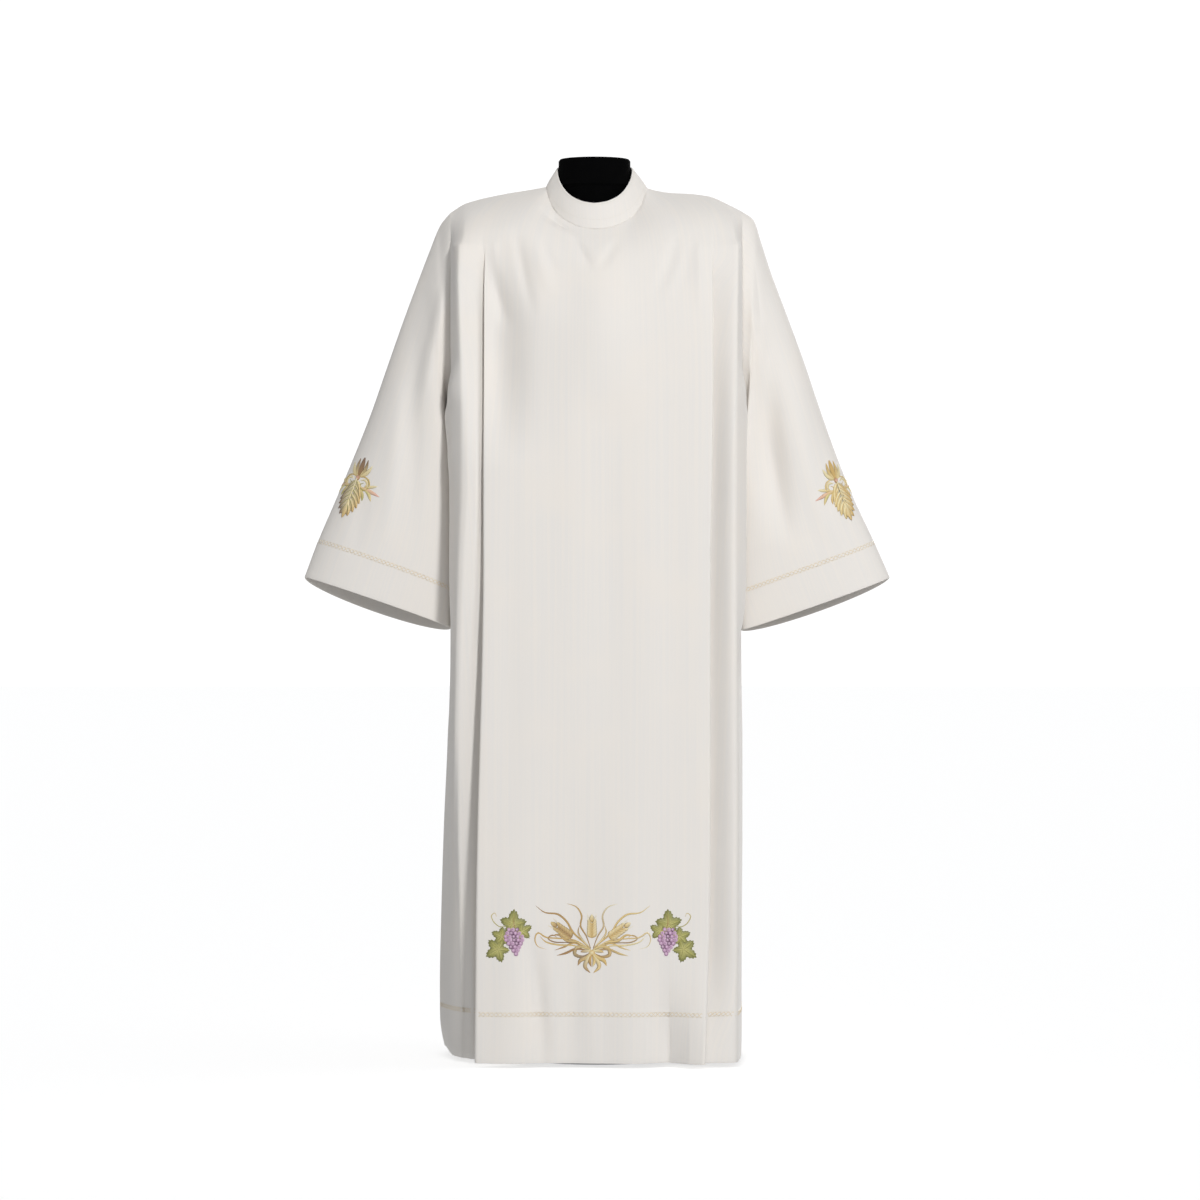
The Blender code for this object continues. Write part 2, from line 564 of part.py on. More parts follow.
def wall_mesh(name, outer, inner, closed):
    """A closed solid between two grids of points."""
    rows, columns = outer.shape[:2]
    mesh = bmesh.new()
    out = [[mesh.verts.new(point) for point in row] for row in outer]
    back = [[mesh.verts.new(point) for point in row] for row in inner]
    steps = columns if closed else columns - 1
    for row in range(rows - 1):
        for column in range(steps):
            after = (column + 1) % columns
            for grid in (out, back):
                corner = grid[row][column], grid[row][after], grid[row + 1][after], grid[row + 1][column]
                mesh.faces.new(corner[:3])
                mesh.faces.new((corner[0], corner[2], corner[3]))
    rims = [[(row, column) for column in range(steps)] for row in (0, rows - 1)]
    for rim in rims:
        for row, column in rim:
            after = (column + 1) % columns
            mesh.faces.new((out[row][column], out[row][after], back[row][after]))
            mesh.faces.new((out[row][column], back[row][after], back[row][column]))
    if not closed:
        for column in (0, columns - 1):
            for row in range(rows - 1):
                mesh.faces.new((out[row][column], out[row + 1][column], back[row + 1][column]))
                mesh.faces.new((out[row][column], back[row + 1][column], back[row][column]))
    bmesh.ops.recalc_face_normals(mesh, faces=mesh.faces)
    data = bpy.data.meshes.new(name)
    mesh.to_mesh(data)
    mesh.free()
    return data


# ---------------------------------------------------------------- the dress form


def form_ring(half_width, front, back, height_left, height_right, neck_scale):
    """One ring of the form: the shoulders' oval joined softly to the neck block's."""
    ring = []
    for step in range(FORM_RING_POINTS):
        angle = 2 * math.pi * step / FORM_RING_POINTS
        x = half_width * math.cos(angle)
        facing = "front" if math.sin(angle) < 0 else "back"
        height = height_left + (height_right - height_left) * (x / half_width + 1) / 2
        below = at(SHOULDER[1 if x > 0 else -1], "z", abs(x), "x") - FORM_DROP - height
        reach = (front if facing == "front" else back) * abs(math.sin(angle))
        reach = min(reach, RIDGE_FLAT + max(below, 0.0) / RIDGE_FALL)
        from_neck = (x - NECK_BLOCK["middle"]) / NECK_BLOCK["half_width"]
        neck = NECK_BLOCK[facing] * neck_scale * math.sqrt(max(0.0, 1 - from_neck ** 2))
        joined = (reach ** NECK_BLEND_POWER + neck ** NECK_BLEND_POWER) ** (1 / NECK_BLEND_POWER)
        ring.append((x, math.copysign(joined, math.sin(angle)), height))
    return ring


def form_rings():
    """The form's rings from its lower edge to the top of its neck."""
    rings = []
    for height, half_width, front, back in zip(*(FORM_LEVELS[name] for name in
                                                 ("z", "half_width", "front", "back"))):
        neck = smooth((height - NECK_BLEND_HEIGHT) / (FORM_LEVELS["z"][-1] - NECK_BLEND_HEIGHT))
        rings.append(form_ring(half_width, front, back, height, height, neck))
    for out, front, back in list(zip(*(FORM_SHOULDER[name] for name in ("x", "front", "back"))))[::-1]:
        heights = [at(SHOULDER[side], "z", out, "x") - FORM_DROP for side in (LEFT, RIGHT)]
        rings.append(form_ring(out, front, back, *heights, 1.0))
    for height, scale in zip(FORM_NECK["z"], FORM_NECK["scale"]):
        rings.append([
            (NECK_BLOCK["middle"] + NECK_BLOCK["half_width"] * scale * math.cos(angle),
             NECK_BLOCK["front" if math.sin(angle) < 0 else "back"] * scale * math.sin(angle), height)
            for angle in (2 * math.pi * step / FORM_RING_POINTS for step in range(FORM_RING_POINTS))
        ])
    return rings


def loft_mesh(name, rings):
    """A closed solid through rings with the same number of points."""
    mesh = bmesh.new()
    loops = [[mesh.verts.new(point) for point in ring] for ring in rings]
    for lower, upper in zip(loops, loops[1:]):
        for step in range(len(lower)):
            after = (step + 1) % len(lower)
            mesh.faces.new((lower[step], lower[after], upper[after], upper[step]))
    mesh.faces.new(loops[0])
    mesh.faces.new(loops[-1])
    bmesh.ops.recalc_face_normals(mesh, faces=mesh.faces)
    data = bpy.data.meshes.new(name)
    mesh.to_mesh(data)
    mesh.free()
    return data


# ---------------------------------------------------------------- objects


def make_material(name):
    """A Principled material with one of the part's finishes."""
    colour, roughness, metallic = FINISHES[name]
    material = bpy.data.materials.new(name)
    material.use_nodes = True
    shader = material.node_tree.nodes["Principled BSDF"]
    shader.inputs["Base Color"].default_value = (*colour, 1.0)
    shader.inputs["Roughness"].default_value = roughness
    shader.inputs["Metallic"].default_value = metallic
    return material


def add_object(collection, material, data):
    """A named object for one piece, shaded smooth but for its sharp edges."""
    piece = bpy.data.objects.new(data.name, data)
    collection.objects.link(piece)
    data.materials.append(material)
    data.shade_smooth()
    data.set_sharp_from_angle(angle=math.radians(40))
    return piece


def add_cylinder(collection, material, name, radius, low, high):
    """An upright cylinder between two heights."""
    bpy.ops.mesh.primitive_cylinder_add(vertices=48, radius=radius, depth=high - low,
                                        location=(0.0, 0.0, (low + high) / 2))
    piece = bpy.context.object
    piece.name = name
    piece.data.name = name
    for holder in list(piece.users_collection):
        holder.objects.unlink(piece)
    collection.objects.link(piece)
    piece.data.materials.append(material)
    return piece


def placket(panel):
    """The strip over the centre back opening: between rows and columns of the back panel, moved out."""
    points, normals = panel["points"], panel["normals"] * panel["mitre"][..., None]
    middle = points.shape[1] // 2
    rows = [row for row in range(1, len(points)) if points[row, middle, 2] >= PLACKET_END_HEIGHT - 1e-6]
    outer, inner = [], []
    lift = WALL / 2 + SEAM_GAP
    for row in [0, *rows]:
        sides = []
        for step in (-1, 0, 1):
            share = PLACKET_HALF_WIDTH / abs(points[row, middle + 1, 0] - points[row, middle, 0]) * abs(step)
            pick = []
            for grid in (points, normals):
                value = grid[row, middle] * (1 - share) + grid[row, middle + step] * share
                if row == 0:
                    below = grid[1, middle] * (1 - share) + grid[1, middle + step] * share
                    value = value * (1 - PLACKET_TOP_SHARE) + below * PLACKET_TOP_SHARE
                pick.append(value)
            sides.append(pick)
        inner.append([point + normal * lift for point, normal in sides])
        outer.append([point + normal * (lift + PLACKET_WALL) for point, normal in sides])
    return np.array(outer), np.array(inner)


def main():
    for item in list(bpy.data.objects):
        bpy.data.objects.remove(item, do_unlink=True)
    collection = bpy.data.collections.new(COLLECTION_NAME)
    bpy.context.scene.collection.children.link(collection)
    cloth, jersey, steel = (make_material(name) for name in ("ivory_cloth", "black_jersey", "steel"))

    front, back = body_panel("front"), body_panel("back")
    pieces = {
        "body_front": make_piece("body", front, np.array([0, -1, 0]), sewn=("top", "left", "right")),
        "body_back": make_piece("body", back, np.array([0, 1, 0]), sewn=("top", "left", "right")),
    }
    for side in (LEFT, RIGHT):
        rings = sleeve(side, front, back)
        outward = rings - rings.mean(axis=1, keepdims=True)
        pieces["sleeve_" + SIDE_NAMES[side]] = make_piece("sleeve", rings, outward, closed=True)
    stand = collar(front, back)
    pieces["collar"] = make_piece("collar", stand, stand * (1, 1, 0), cut_back=COLLAR_CUT_BACK)
    sew(list(pieces.values()))
    for edge, direction in ((0, -1), (-1, 1)):
        pieces["collar"]["points"][:, edge, 0] += direction * COLLAR_SLIT / 2

    for name, piece in pieces.items():
        outer, inner = wall_sides(piece, COLLAR_WALL if name == "collar" else WALL)
        add_object(collection, cloth, wall_mesh(name, outer, inner, piece["closed"]))
    add_object(collection, cloth, wall_mesh("placket_back", *placket(pieces["body_back"]), False))

    add_object(collection, jersey, loft_mesh("form_torso", form_rings()))
    base = add_cylinder(collection, steel, "form_base", BASE_RADIUS, 0.0, BASE_HEIGHT)
    bevel = base.modifiers.new("edge", "BEVEL")
    bevel.width = BASE_EDGE
    bevel.segments = 2
    bevel.limit_method = "ANGLE"
    add_cylinder(collection, steel, "form_pole", POLE_RADIUS, BASE_HEIGHT + SEAM_GAP,
                 FORM_LEVELS["z"][0] - SEAM_GAP)


main()
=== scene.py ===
# An alb on a limbless dress form. The cloth follows the frame's solids, finer and with its soft creases.
import math

import bpy
import bmesh
import numpy as np
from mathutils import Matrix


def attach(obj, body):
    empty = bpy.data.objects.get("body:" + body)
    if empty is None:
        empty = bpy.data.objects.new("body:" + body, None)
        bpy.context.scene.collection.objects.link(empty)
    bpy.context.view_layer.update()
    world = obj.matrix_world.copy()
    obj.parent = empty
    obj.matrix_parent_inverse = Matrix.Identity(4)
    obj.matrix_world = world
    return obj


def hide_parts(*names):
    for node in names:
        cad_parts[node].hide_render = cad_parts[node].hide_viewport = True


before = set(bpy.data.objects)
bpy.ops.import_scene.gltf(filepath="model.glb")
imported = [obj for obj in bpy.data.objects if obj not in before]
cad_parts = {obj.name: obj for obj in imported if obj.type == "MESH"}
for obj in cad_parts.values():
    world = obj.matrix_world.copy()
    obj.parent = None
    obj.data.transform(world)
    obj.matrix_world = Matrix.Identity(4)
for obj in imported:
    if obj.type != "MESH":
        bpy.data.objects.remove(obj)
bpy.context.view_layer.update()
scene = bpy.context.scene
print("frame loaded")

left, right = -1, 1
sideNames = {left: "Left", right: "Right"}
white = (1.0, 1.0, 1.0, 1.0)

# shader maths as plain sums


class Wire:  # an output socket of a material or of the world
    def __init__(self, graph, socket):
        self.graph, self.socket = graph, socket

    def sum(self, operation, *others):
        return self.graph.node("Math", {"operation": operation}, self, *others)

    def __add__(self, other):
        return self.sum("ADD", other)

    def __mul__(self, other):
        return self.sum("MULTIPLY", other)

    __radd__, __rmul__ = __add__, __mul__


class Graph:  # the nodes of a material or of the world
    def __init__(self, owner, main="Principled BSDF"):
        owner.use_nodes = True
        self.owner, self.tree = owner, owner.node_tree
        self.main = self.tree.nodes[main]

    def node(self, kind, settings=None, *values, output=0, **named):
        made = self.tree.nodes.new("ShaderNode" + kind)
        for key, value in (settings or {}).items():
            setattr(made, key, value)
        for place, value in enumerate(values):
            if value is not None:
                self.feed(made.inputs[place], value)
        self.feedAll(made, named)
        return Wire(self, made.outputs[output])

    def feed(self, socket, value):
        if isinstance(value, Wire):
            self.tree.links.new(value.socket, socket)
        else:
            socket.default_value = value

    def feedAll(self, node, named):
        for place, value in named.items():
            self.feed(node.inputs[place.replace("_", " ")], value)

    def mix(self, factor, first, second, blend="MIX"):  # its colours go into sockets 6 and 7
        settings = {"data_type": "RGBA", "blend_type": blend}
        return self.node("Mix", settings, factor, *[None] * 5, first, second, output=2)

    def ramp(self, value, low, high, *ends):  # from 0 below low to 1 above high, or between two other ends
        return self.node("MapRange", {"interpolation_type": "SMOOTHSTEP"}, value, low, high, *ends)

    def noise(self, place, scale, detail, roughness=0.5):
        return self.node("TexNoise", None, Vector=place, Scale=scale, Detail=detail, Roughness=roughness)

    def bump(self, strength, height):
        return self.node("Bump", None, Strength=strength, Distance=1.0, Height=height)

    def finish(self, **inputs):
        self.feedAll(self.main, inputs)
        return self.owner


# camera and studio

view = {
    "distance": 7.0,
    "height": 0.792,
    "aside": 0.0061,
    "widthAtForm": 2.088,
    "sensor": 36.0,
    "farEnd": 100.0,
}
lamps = {  # place, size and power; the back light is for the sides that the camera doesn't see
    "keyLight": ((2.55, -7.4, 4.7), 1.03, 470.0),
    "fillLight": ((-3.6, -5.0, 1.6), 3.0, 4.0),
    "backLight": ((2.6, 5.8, 3.4), 2.0, 150.0),
}
studio = {
    "target": (0.0, 0.0, 0.85),
    "sky": (0.98, 0.99, 1.0, 1.0),
    "groundToSky": (-0.95, -0.35, 1.00, 0.40),  # the heights in the world's sphere, and the strengths there
    "backdropStrength": 1.1,
    "floorSize": 60.0,
    "floorColour": (0.9, 0.9, 0.9, 1.0),
    "floorRoughness": 0.9,
    "floorGlow": 0.635,
}


def addCamera():
    data = bpy.data.cameras.new("camera")
    data.sensor_width = view["sensor"]
    data.lens = view["sensor"] * view["distance"] / view["widthAtForm"]
    data.clip_end = view["farEnd"]
    camera = bpy.data.objects.new("camera", data)
    camera.location = (view["aside"], -view["distance"], view["height"])
    camera.rotation_euler = (math.pi / 2, 0.0, 0.0)
    scene.collection.objects.link(camera)
    scene.camera = camera


def addLight(name, place, size, power):
    data = bpy.data.lights.new(name, "AREA")
    data.shape = "DISK"
    data.size = size
    data.energy = power
    light = bpy.data.objects.new(name, data)
    light.location = place
    away = np.array(place) - np.array(studio["target"])
    flat = math.hypot(away[0], away[1])
    light.rotation_euler = (math.atan2(flat, away[2]), 0.0, math.atan2(away[1], away[0]) + math.pi / 2)
    scene.collection.objects.link(light)
    return light


def addWorld():  # the pale ground sends more light up than the sky sends down
    graph = Graph(bpy.data.worlds.new("studio"), "World Output")
    up = graph.node("SeparateXYZ", None, graph.node("TexCoord"), output=2)
    light = graph.tree.nodes["Background"]
    graph.feedAll(light, {"Color": studio["sky"], "Strength": graph.ramp(up, *studio["groundToSky"])})
    backdrop = graph.node("Background", None, Color=white, Strength=studio["backdropStrength"])
    seen = graph.node("LightPath")  # the camera sees the backdrop behind the floor's far edge
    mixed = graph.node("MixShader", None, seen, Wire(graph, light.outputs[0]), backdrop)
    scene.world = graph.finish(Surface=mixed)
    scene.view_settings.view_transform = "Standard"


def addFloor(lights):  # it glows by itself, and keeps the soft shadow of the sky
    bpy.ops.object.select_all(action="DESELECT")
    bpy.ops.mesh.primitive_plane_add(size=studio["floorSize"], location=(0.0, 0.0, 0.0))
    floor = bpy.context.object
    floor.name = "floor"
    floor.data.materials.append(Graph(bpy.data.materials.new("paleFloor")).finish(
        Base_Color=studio["floorColour"], Roughness=studio["floorRoughness"],
        Emission_Color=white, Emission_Strength=studio["floorGlow"]))
    floor.visible_diffuse = False  # the cloth gets its light from the lamps and the sky alone
    unlit = bpy.data.collections.new("notLitByLamps")
    unlit.objects.link(floor)
    for light in lights:
        light.light_linking.receiver_collection = unlit
    unlit.collection_objects[0].light_linking.link_state = "EXCLUDE"


addCamera()
lights = {name: addLight(name, *lamp) for name, lamp in lamps.items()}
addWorld()
addFloor([lights["keyLight"], lights["backLight"]])
print("camera and studio made")

# small helpers for numbers


def table(names, rows):  # columns of a short table by name
    return dict(zip(names.split(), np.array(rows, float).T))


def smooth(share):
    share = np.clip(share, 0.0, 1.0)
    return share * share * (3 - 2 * share)


def unit(vectors):
    return vectors / np.maximum(np.linalg.norm(vectors, axis=-1, keepdims=True), 1e-12)


# a smooth curve through a column of a table, with no overshoot
def readCurve(columns, name, where, key="z", level=False):
    order = np.argsort(columns[key])
    keys, values = columns[key][order], columns[name][order]
    gaps = np.diff(keys)
    slopes = np.diff(values) / gaps
    product, total = slopes[:-1] * slopes[1:], slopes[:-1] + slopes[1:]
    inner = np.where(product > 0, 2 * product / np.where(np.abs(total) > 1e-12, total, 1.0), 0.0)
    tangents = np.concatenate([slopes[:1] * (not level), inner, slopes[-1:] * (not level)])
    spot = np.clip(np.searchsorted(keys, where, side="right") - 1, 0, len(gaps) - 1)
    part = np.clip((where - keys[spot]) / gaps[spot], 0.0, 1.0)
    rise = part * part * (3 - 2 * part)
    lean = part * (1 - part) ** 2 * tangents[spot] - part ** 2 * (1 - part) * tangents[spot + 1]
    return values[spot] + (values[spot + 1] - values[spot]) * rise + gaps[spot] * lean


# the body's sizes

body = {
    "wall": 0.0011,
    "hemWall": 0.0017,
    "hemDepth": 0.082,
    "hemEase": 0.006,
    "hemHeight": 0.008,
    "hemLift": {left: (0.246, 0.010), right: (0.244, 0.004)},
    "hemLiftTop": 0.120,
    "chestHeight": 1.400,
    "underarmHeight": 1.120,
    "shoulderPoint": 0.254,
    "shoulderColumns": (0.0865, 0.104, 0.128, 0.150, 0.172),
    "chestColumns": (0.120, 0.134, 0.149, 0.163, 0.177),
    "neckColumns": 6,
    "columnsFine": 7,
    "columnFan": 0.8,
    "dipHalfWidth": 0.160,
    "rowsShoulder": 30,
    "rowsArmhole": 34,
    "rowsSkirt": 112,
    "foldSteps": 4,
    "sharpAngle": 62,
}
pleat = {
    "before": 0.007,
    "after": 0.015,
    "opens": {left: 0.050, right: 0.080},
    "valleyOffset": {left: 0.0040, right: 0.0012},
    "thirdLeast": 0.15,
    "stepsTurn": 7,
    "stepsLayer": 5,
    "stepsRidge": 9,
}
# the roll behind the ridge, by shares of the way back to the side seam, and by height where a slant or a
# shift of the lips starts and ends
sideRoll = {
    "steps": 15,
    "slantTop": 0.58,
    "slantFull": 0.30,
    "slantMost": 0.62,
    "bulgeStart": 0.35,
    "bulgePower": 0.7,
    "lipFull": 0.35,
    "lipEnd": 0.62,
    "lipFade": 0.16,
    "lipShift": {left: 0.07, right: -0.07},
    "lipShiftFrom": 1.00,
    "lipShiftRun": 0.10,
    "tuckMiddle": 0.72,
    "tuckHalf": 0.28,
    "tuckSteepness": 1.6,
}
rollOver = {  # how the columns come over the shoulder and down to the chest
    "slopes": {"front": (0.15, 0.55, 1.30), "back": (0.12, 0.30, 0.70)},
    "ahead": 0.5,
    "mostFall": 0.6,
    "lean": 0.6,
    "leanFall": 0.45,
}
calm = {  # how the rows round the shoulders are evened out
    "rounds": 150,
    "rows": 16,
    "width": 0.176,
    "edge": 0.02,
    "fadeTop": 6,
    "fadeChest": 3,
    "fadeBelow": 12,
}
creaseForm = {"endPower": 1.2, "seamMargin": 0.004, "seamFade": 0.03}
fluteForm = {"crest": 1.04, "blunt": 0.0016}
shoulder = {
    left: table("x z", [
        (0.0865, 1.5105), (0.104, 1.507), (0.166, 1.4965), (0.227, 1.4813), (0.254, 1.465),
    ]),
    right: table("x z", [
        (0.0865, 1.5085), (0.104, 1.5035), (0.128, 1.4998), (0.168, 1.4975), (0.194, 1.494),
        (0.234, 1.477), (0.254, 1.4665),
    ]),
}
neckSeam = {"halfWidth": 0.0865, "front": 0.082, "back": 0.068, "middle": 0.0}
collarRim = {"halfWidth": 0.0655, "front": 0.068, "back": 0.060, "middle": -0.003}
# the heights of the neck seam and of the rim, by degrees from the front
neckLine = table("angle seam rim", [
    (0, 1.43, 1.4752), (15, 1.4328, 1.4775), (30, 1.441, 1.4838), (45, 1.4535, 1.494), (60, 1.47, 1.5085),
    (75, 1.4935, 1.524), (90, 1.51, 1.54), (135, 1.511, 1.551), (180, 1.508, 1.553),
])
# the side seams, how far they sink in below the armholes, and how far the armholes reach in depth
sides = table("z Left Right sunk reach", [
    (1.4, 0.2515, 0.2515, 0, 0.045), (1.35, 0.2515, 0.2515, 0, 0.056), (1.29, 0.2515, 0.2515, 0, 0.063),
    (1.23, 0.2515, 0.2515, 0, 0.061), (1.175, 0.2515, 0.2515, 0, 0.047), (1.14, 0.2515, 0.2515, 0, 0.027),
    (1.12, 0.2515, 0.2515, 0, 0), (1, 0.254, 0.252, 0.01, 0), (0.85, 0.2548, 0.2515, 0.011, 0),
    (0.7, 0.2549, 0.252, 0.006, 0), (0.55, 0.2585, 0.2535, 0, 0), (0.4, 0.265, 0.2535, 0, 0),
    (0.25, 0.2695, 0.2525, 0, 0), (0.12, 0.272, 0.252, 0, 0), (0.06, 0.2712, 0.252, 0, 0),
    (0.03, 0.268, 0.2518, 0, 0), (0.008, 0.2635, 0.2512, 0, 0),
])
# the fullness before the side seams that meets the sleeves below the underarms
bulges = table("z Left Right", [
    (1.16, 0, 0), (1.14, 0.001, 0.001), (1.125, 0.004, 0.0035), (1.112, 0.0084, 0.008),
    (1.1, 0.0074, 0.0064), (1.09, 0.006, 0.005), (1.08, 0.0044, 0.0036), (1.07, 0.0028, 0.0022),
    (1.06, 0.0012, 0.001), (1.05, 0, 0),
])
tucks = table("z Left Right", [  # how far the back's sides stand in behind the folds of the sleeves
    (1.08, 0, 0), (1.01, 0.0012, 0.002), (0.95, 0.0022, 0.0024), (0.89, 0.0012, 0.0024), (0.84, 0, 0),
])
lips = table("z Left Right", [  # how far the sides hang over the folds of the sleeves
    (1.205, 0, 0), (1.175, 0.006, 0.005), (1.15, 0.01, 0.0095), (1.05, 0.01, 0.0105), (1, 0.007, 0.01),
    (0.9, 0.005, 0.01), (0.85, 0.0045, 0.01), (0.79, 0.003, 0.0085), (0.755, 0.001, 0.004), (0.738, 0, 0),
])
# each panel by height: how far its rows dip in the middle, how far it stands out in the middle and at the
# edge of the pleat, and where the edge and the ridge behind it lie to each side
levelNames = "z dip middle edge edgeLeft edgeRight ridgeLeft ridgeRight"
levels = {
    "front": table(levelNames, [
        (1.4, 0.055, 0.128, 0.108, 0.191, 0.1983, 0.228, 0.24),
        (1.35, 0.045, 0.14, 0.128, 0.1918, 0.1983, 0.229, 0.238),
        (1.29, 0.03, 0.148, 0.142, 0.1922, 0.1983, 0.226, 0.236),
        (1.23, 0.015, 0.152, 0.148, 0.1922, 0.1983, 0.2223, 0.235),
        (1.175, 0.005, 0.155, 0.151, 0.1922, 0.1983, 0.2205, 0.235),
        (1.12, 0, 0.157, 0.153, 0.1922, 0.198, 0.22, 0.235),
        (1, 0, 0.16, 0.156, 0.1921, 0.1965, 0.22, 0.2345),
        (0.85, 0, 0.164, 0.16, 0.1919, 0.1936, 0.227, 0.234),
        (0.7, 0, 0.168, 0.164, 0.194, 0.1936, 0.233, 0.234),
        (0.55, 0, 0.173, 0.169, 0.1978, 0.1935, 0.235, 0.2345),
        (0.4, 0, 0.178, 0.174, 0.2018, 0.1933, 0.2355, 0.235),
        (0.25, 0, 0.183, 0.18, 0.204, 0.192, 0.2325, 0.235),
        (0.12, 0, 0.187, 0.184, 0.205, 0.188, 0.2305, 0.2345),
        (0.008, 0, 0.19, 0.187, 0.2057, 0.1837, 0.23, 0.234),
    ]),
    "back": table(levelNames, [
        (1.4, 0, 0.102, 0.092, 0.191, 0.1983, 0.217, 0.223),
        (1.35, 0, 0.116, 0.11, 0.1905, 0.196, 0.22, 0.225),
        (1.29, 0, 0.126, 0.121, 0.19, 0.194, 0.223, 0.226),
        (1.23, 0, 0.131, 0.126, 0.1895, 0.192, 0.224, 0.226),
        (1.175, 0, 0.133, 0.128, 0.1892, 0.1905, 0.225, 0.2265),
        (1.12, 0, 0.134, 0.129, 0.189, 0.189, 0.226, 0.227),
        (1, 0, 0.134, 0.129, 0.1885, 0.187, 0.227, 0.228),
        (0.85, 0, 0.136, 0.131, 0.1885, 0.186, 0.229, 0.229),
        (0.7, 0, 0.14, 0.135, 0.1895, 0.1855, 0.231, 0.23),
        (0.55, 0, 0.146, 0.141, 0.192, 0.1855, 0.234, 0.231),
        (0.4, 0, 0.153, 0.148, 0.1945, 0.186, 0.237, 0.232),
        (0.25, 0, 0.16, 0.155, 0.1965, 0.1865, 0.239, 0.233),
        (0.12, 0, 0.165, 0.16, 0.198, 0.187, 0.24, 0.233),
        (0.008, 0, 0.168, 0.163, 0.1985, 0.1875, 0.24, 0.233),
    ]),
}
# the pleats: depth, radius of the turns, how far the third layer lies behind the edge, how far the ridge
# beside it stands before that layer, and in front the share of the way to the ridge in which the left
# one rises
pleatNames = "z tuck turn thirdLeft thirdRight riseLeft riseRight"
pleats = {
    "front": table(pleatNames + " spreadLeft", [
        (1.4, 0, 0.0014, 0.006, 0.006, 0.002, 0.001, 0.3),
        (1.35, 0.012, 0.0018, 0.008, 0.01, 0.004, 0.005, 0.3),
        (1.29, 0.022, 0.002, 0.011, 0.013, 0.008, 0.008, 0.3),
        (1.23, 0.03, 0.0022, 0.012, 0.014, 0.009, 0.009, 0.3),
        (1.175, 0.036, 0.0024, 0.012, 0.017, 0.009, 0.012, 0.3),
        (1.12, 0.04, 0.0025, 0.012, 0.019, 0.009, 0.014, 0.3),
        (1, 0.045, 0.0028, 0.014, 0.021, 0.01, 0.017, 0.3),
        (0.85, 0.05, 0.003, 0.018, 0.022, 0.009, 0.017, 0.4),
        (0.7, 0.052, 0.0035, 0.028, 0.022, 0.008, 0.016, 0.6),
        (0.55, 0.055, 0.0038, 0.038, 0.022, 0.003, 0.015, 0.9),
        (0.4, 0.058, 0.0042, 0.047, 0.024, -0.006, 0.014, 1),
        (0.25, 0.06, 0.0046, 0.055, 0.025, -0.013, 0.013, 1),
        (0.12, 0.06, 0.005, 0.06, 0.026, -0.019, 0.012, 1),
        (0.008, 0.06, 0.0054, 0.062, 0.026, -0.022, 0.012, 1),
    ]),
    "back": table(pleatNames, [
        (1.4, 0, 0.0014, 0.006, 0.006, 0.002, 0),
        (1.35, 0.01, 0.0018, 0.008, 0.008, 0.003, 0),
        (1.29, 0.018, 0.0022, 0.011, 0.011, 0.004, 0),
        (1.23, 0.024, 0.0025, 0.013, 0.013, 0.004, 0.001),
        (1.175, 0.028, 0.0027, 0.015, 0.015, 0.005, 0.001),
        (1.12, 0.032, 0.0029, 0.016, 0.016, 0.005, 0.001),
        (1, 0.036, 0.0032, 0.019, 0.019, 0.006, 0.001),
        (0.85, 0.04, 0.0038, 0.023, 0.023, 0.007, 0.002),
        (0.7, 0.042, 0.0045, 0.028, 0.028, 0.007, 0.002),
        (0.55, 0.044, 0.0055, 0.033, 0.033, 0.008, 0.003),
        (0.4, 0.046, 0.0065, 0.038, 0.038, 0.009, 0.003),
        (0.25, 0.048, 0.0075, 0.043, 0.043, 0.009, 0.004),
        (0.12, 0.05, 0.008, 0.047, 0.047, 0.01, 0.004),
        (0.008, 0.05, 0.0085, 0.05, 0.05, 0.01, 0.004),
    ]),
}
# the way from the ridge back to the side seam, out and back
roll = table("share out back", [
    (0, 0, 0), (0.25, 0.28, 0.03), (0.5, 0.6, 0.25), (0.75, 0.86, 0.62), (1, 1, 1),
])
# the flutes of the skirt, which rise from nothing at their tops. A sharp one has a crest
fluteNames = "xHem xTop halfWidth rise top sharp"
flutes = {
    "front": table(fluteNames, [
        (-0.15, -0.12, 0.06, 0.006, 0.7, 0), (-0.045, -0.03, 0.05, -0.006, 0.55, 0),
        (0.06, 0.05, 0.06, 0.006, 0.65, 0), (0.12, 0.121, 0.036, -0.012, 0.15, 1),
        (0.184, 0.182, 0.058, 0.026, 0.22, 1),
    ]),
    "back": table(fluteNames, [
        (-0.12, -0.08, 0.06, 0.012, 0.85, 0), (-0.01, 0, 0.055, -0.01, 0.75, 0),
        (0.105, 0.07, 0.06, 0.013, 0.95, 0),
    ]),
}
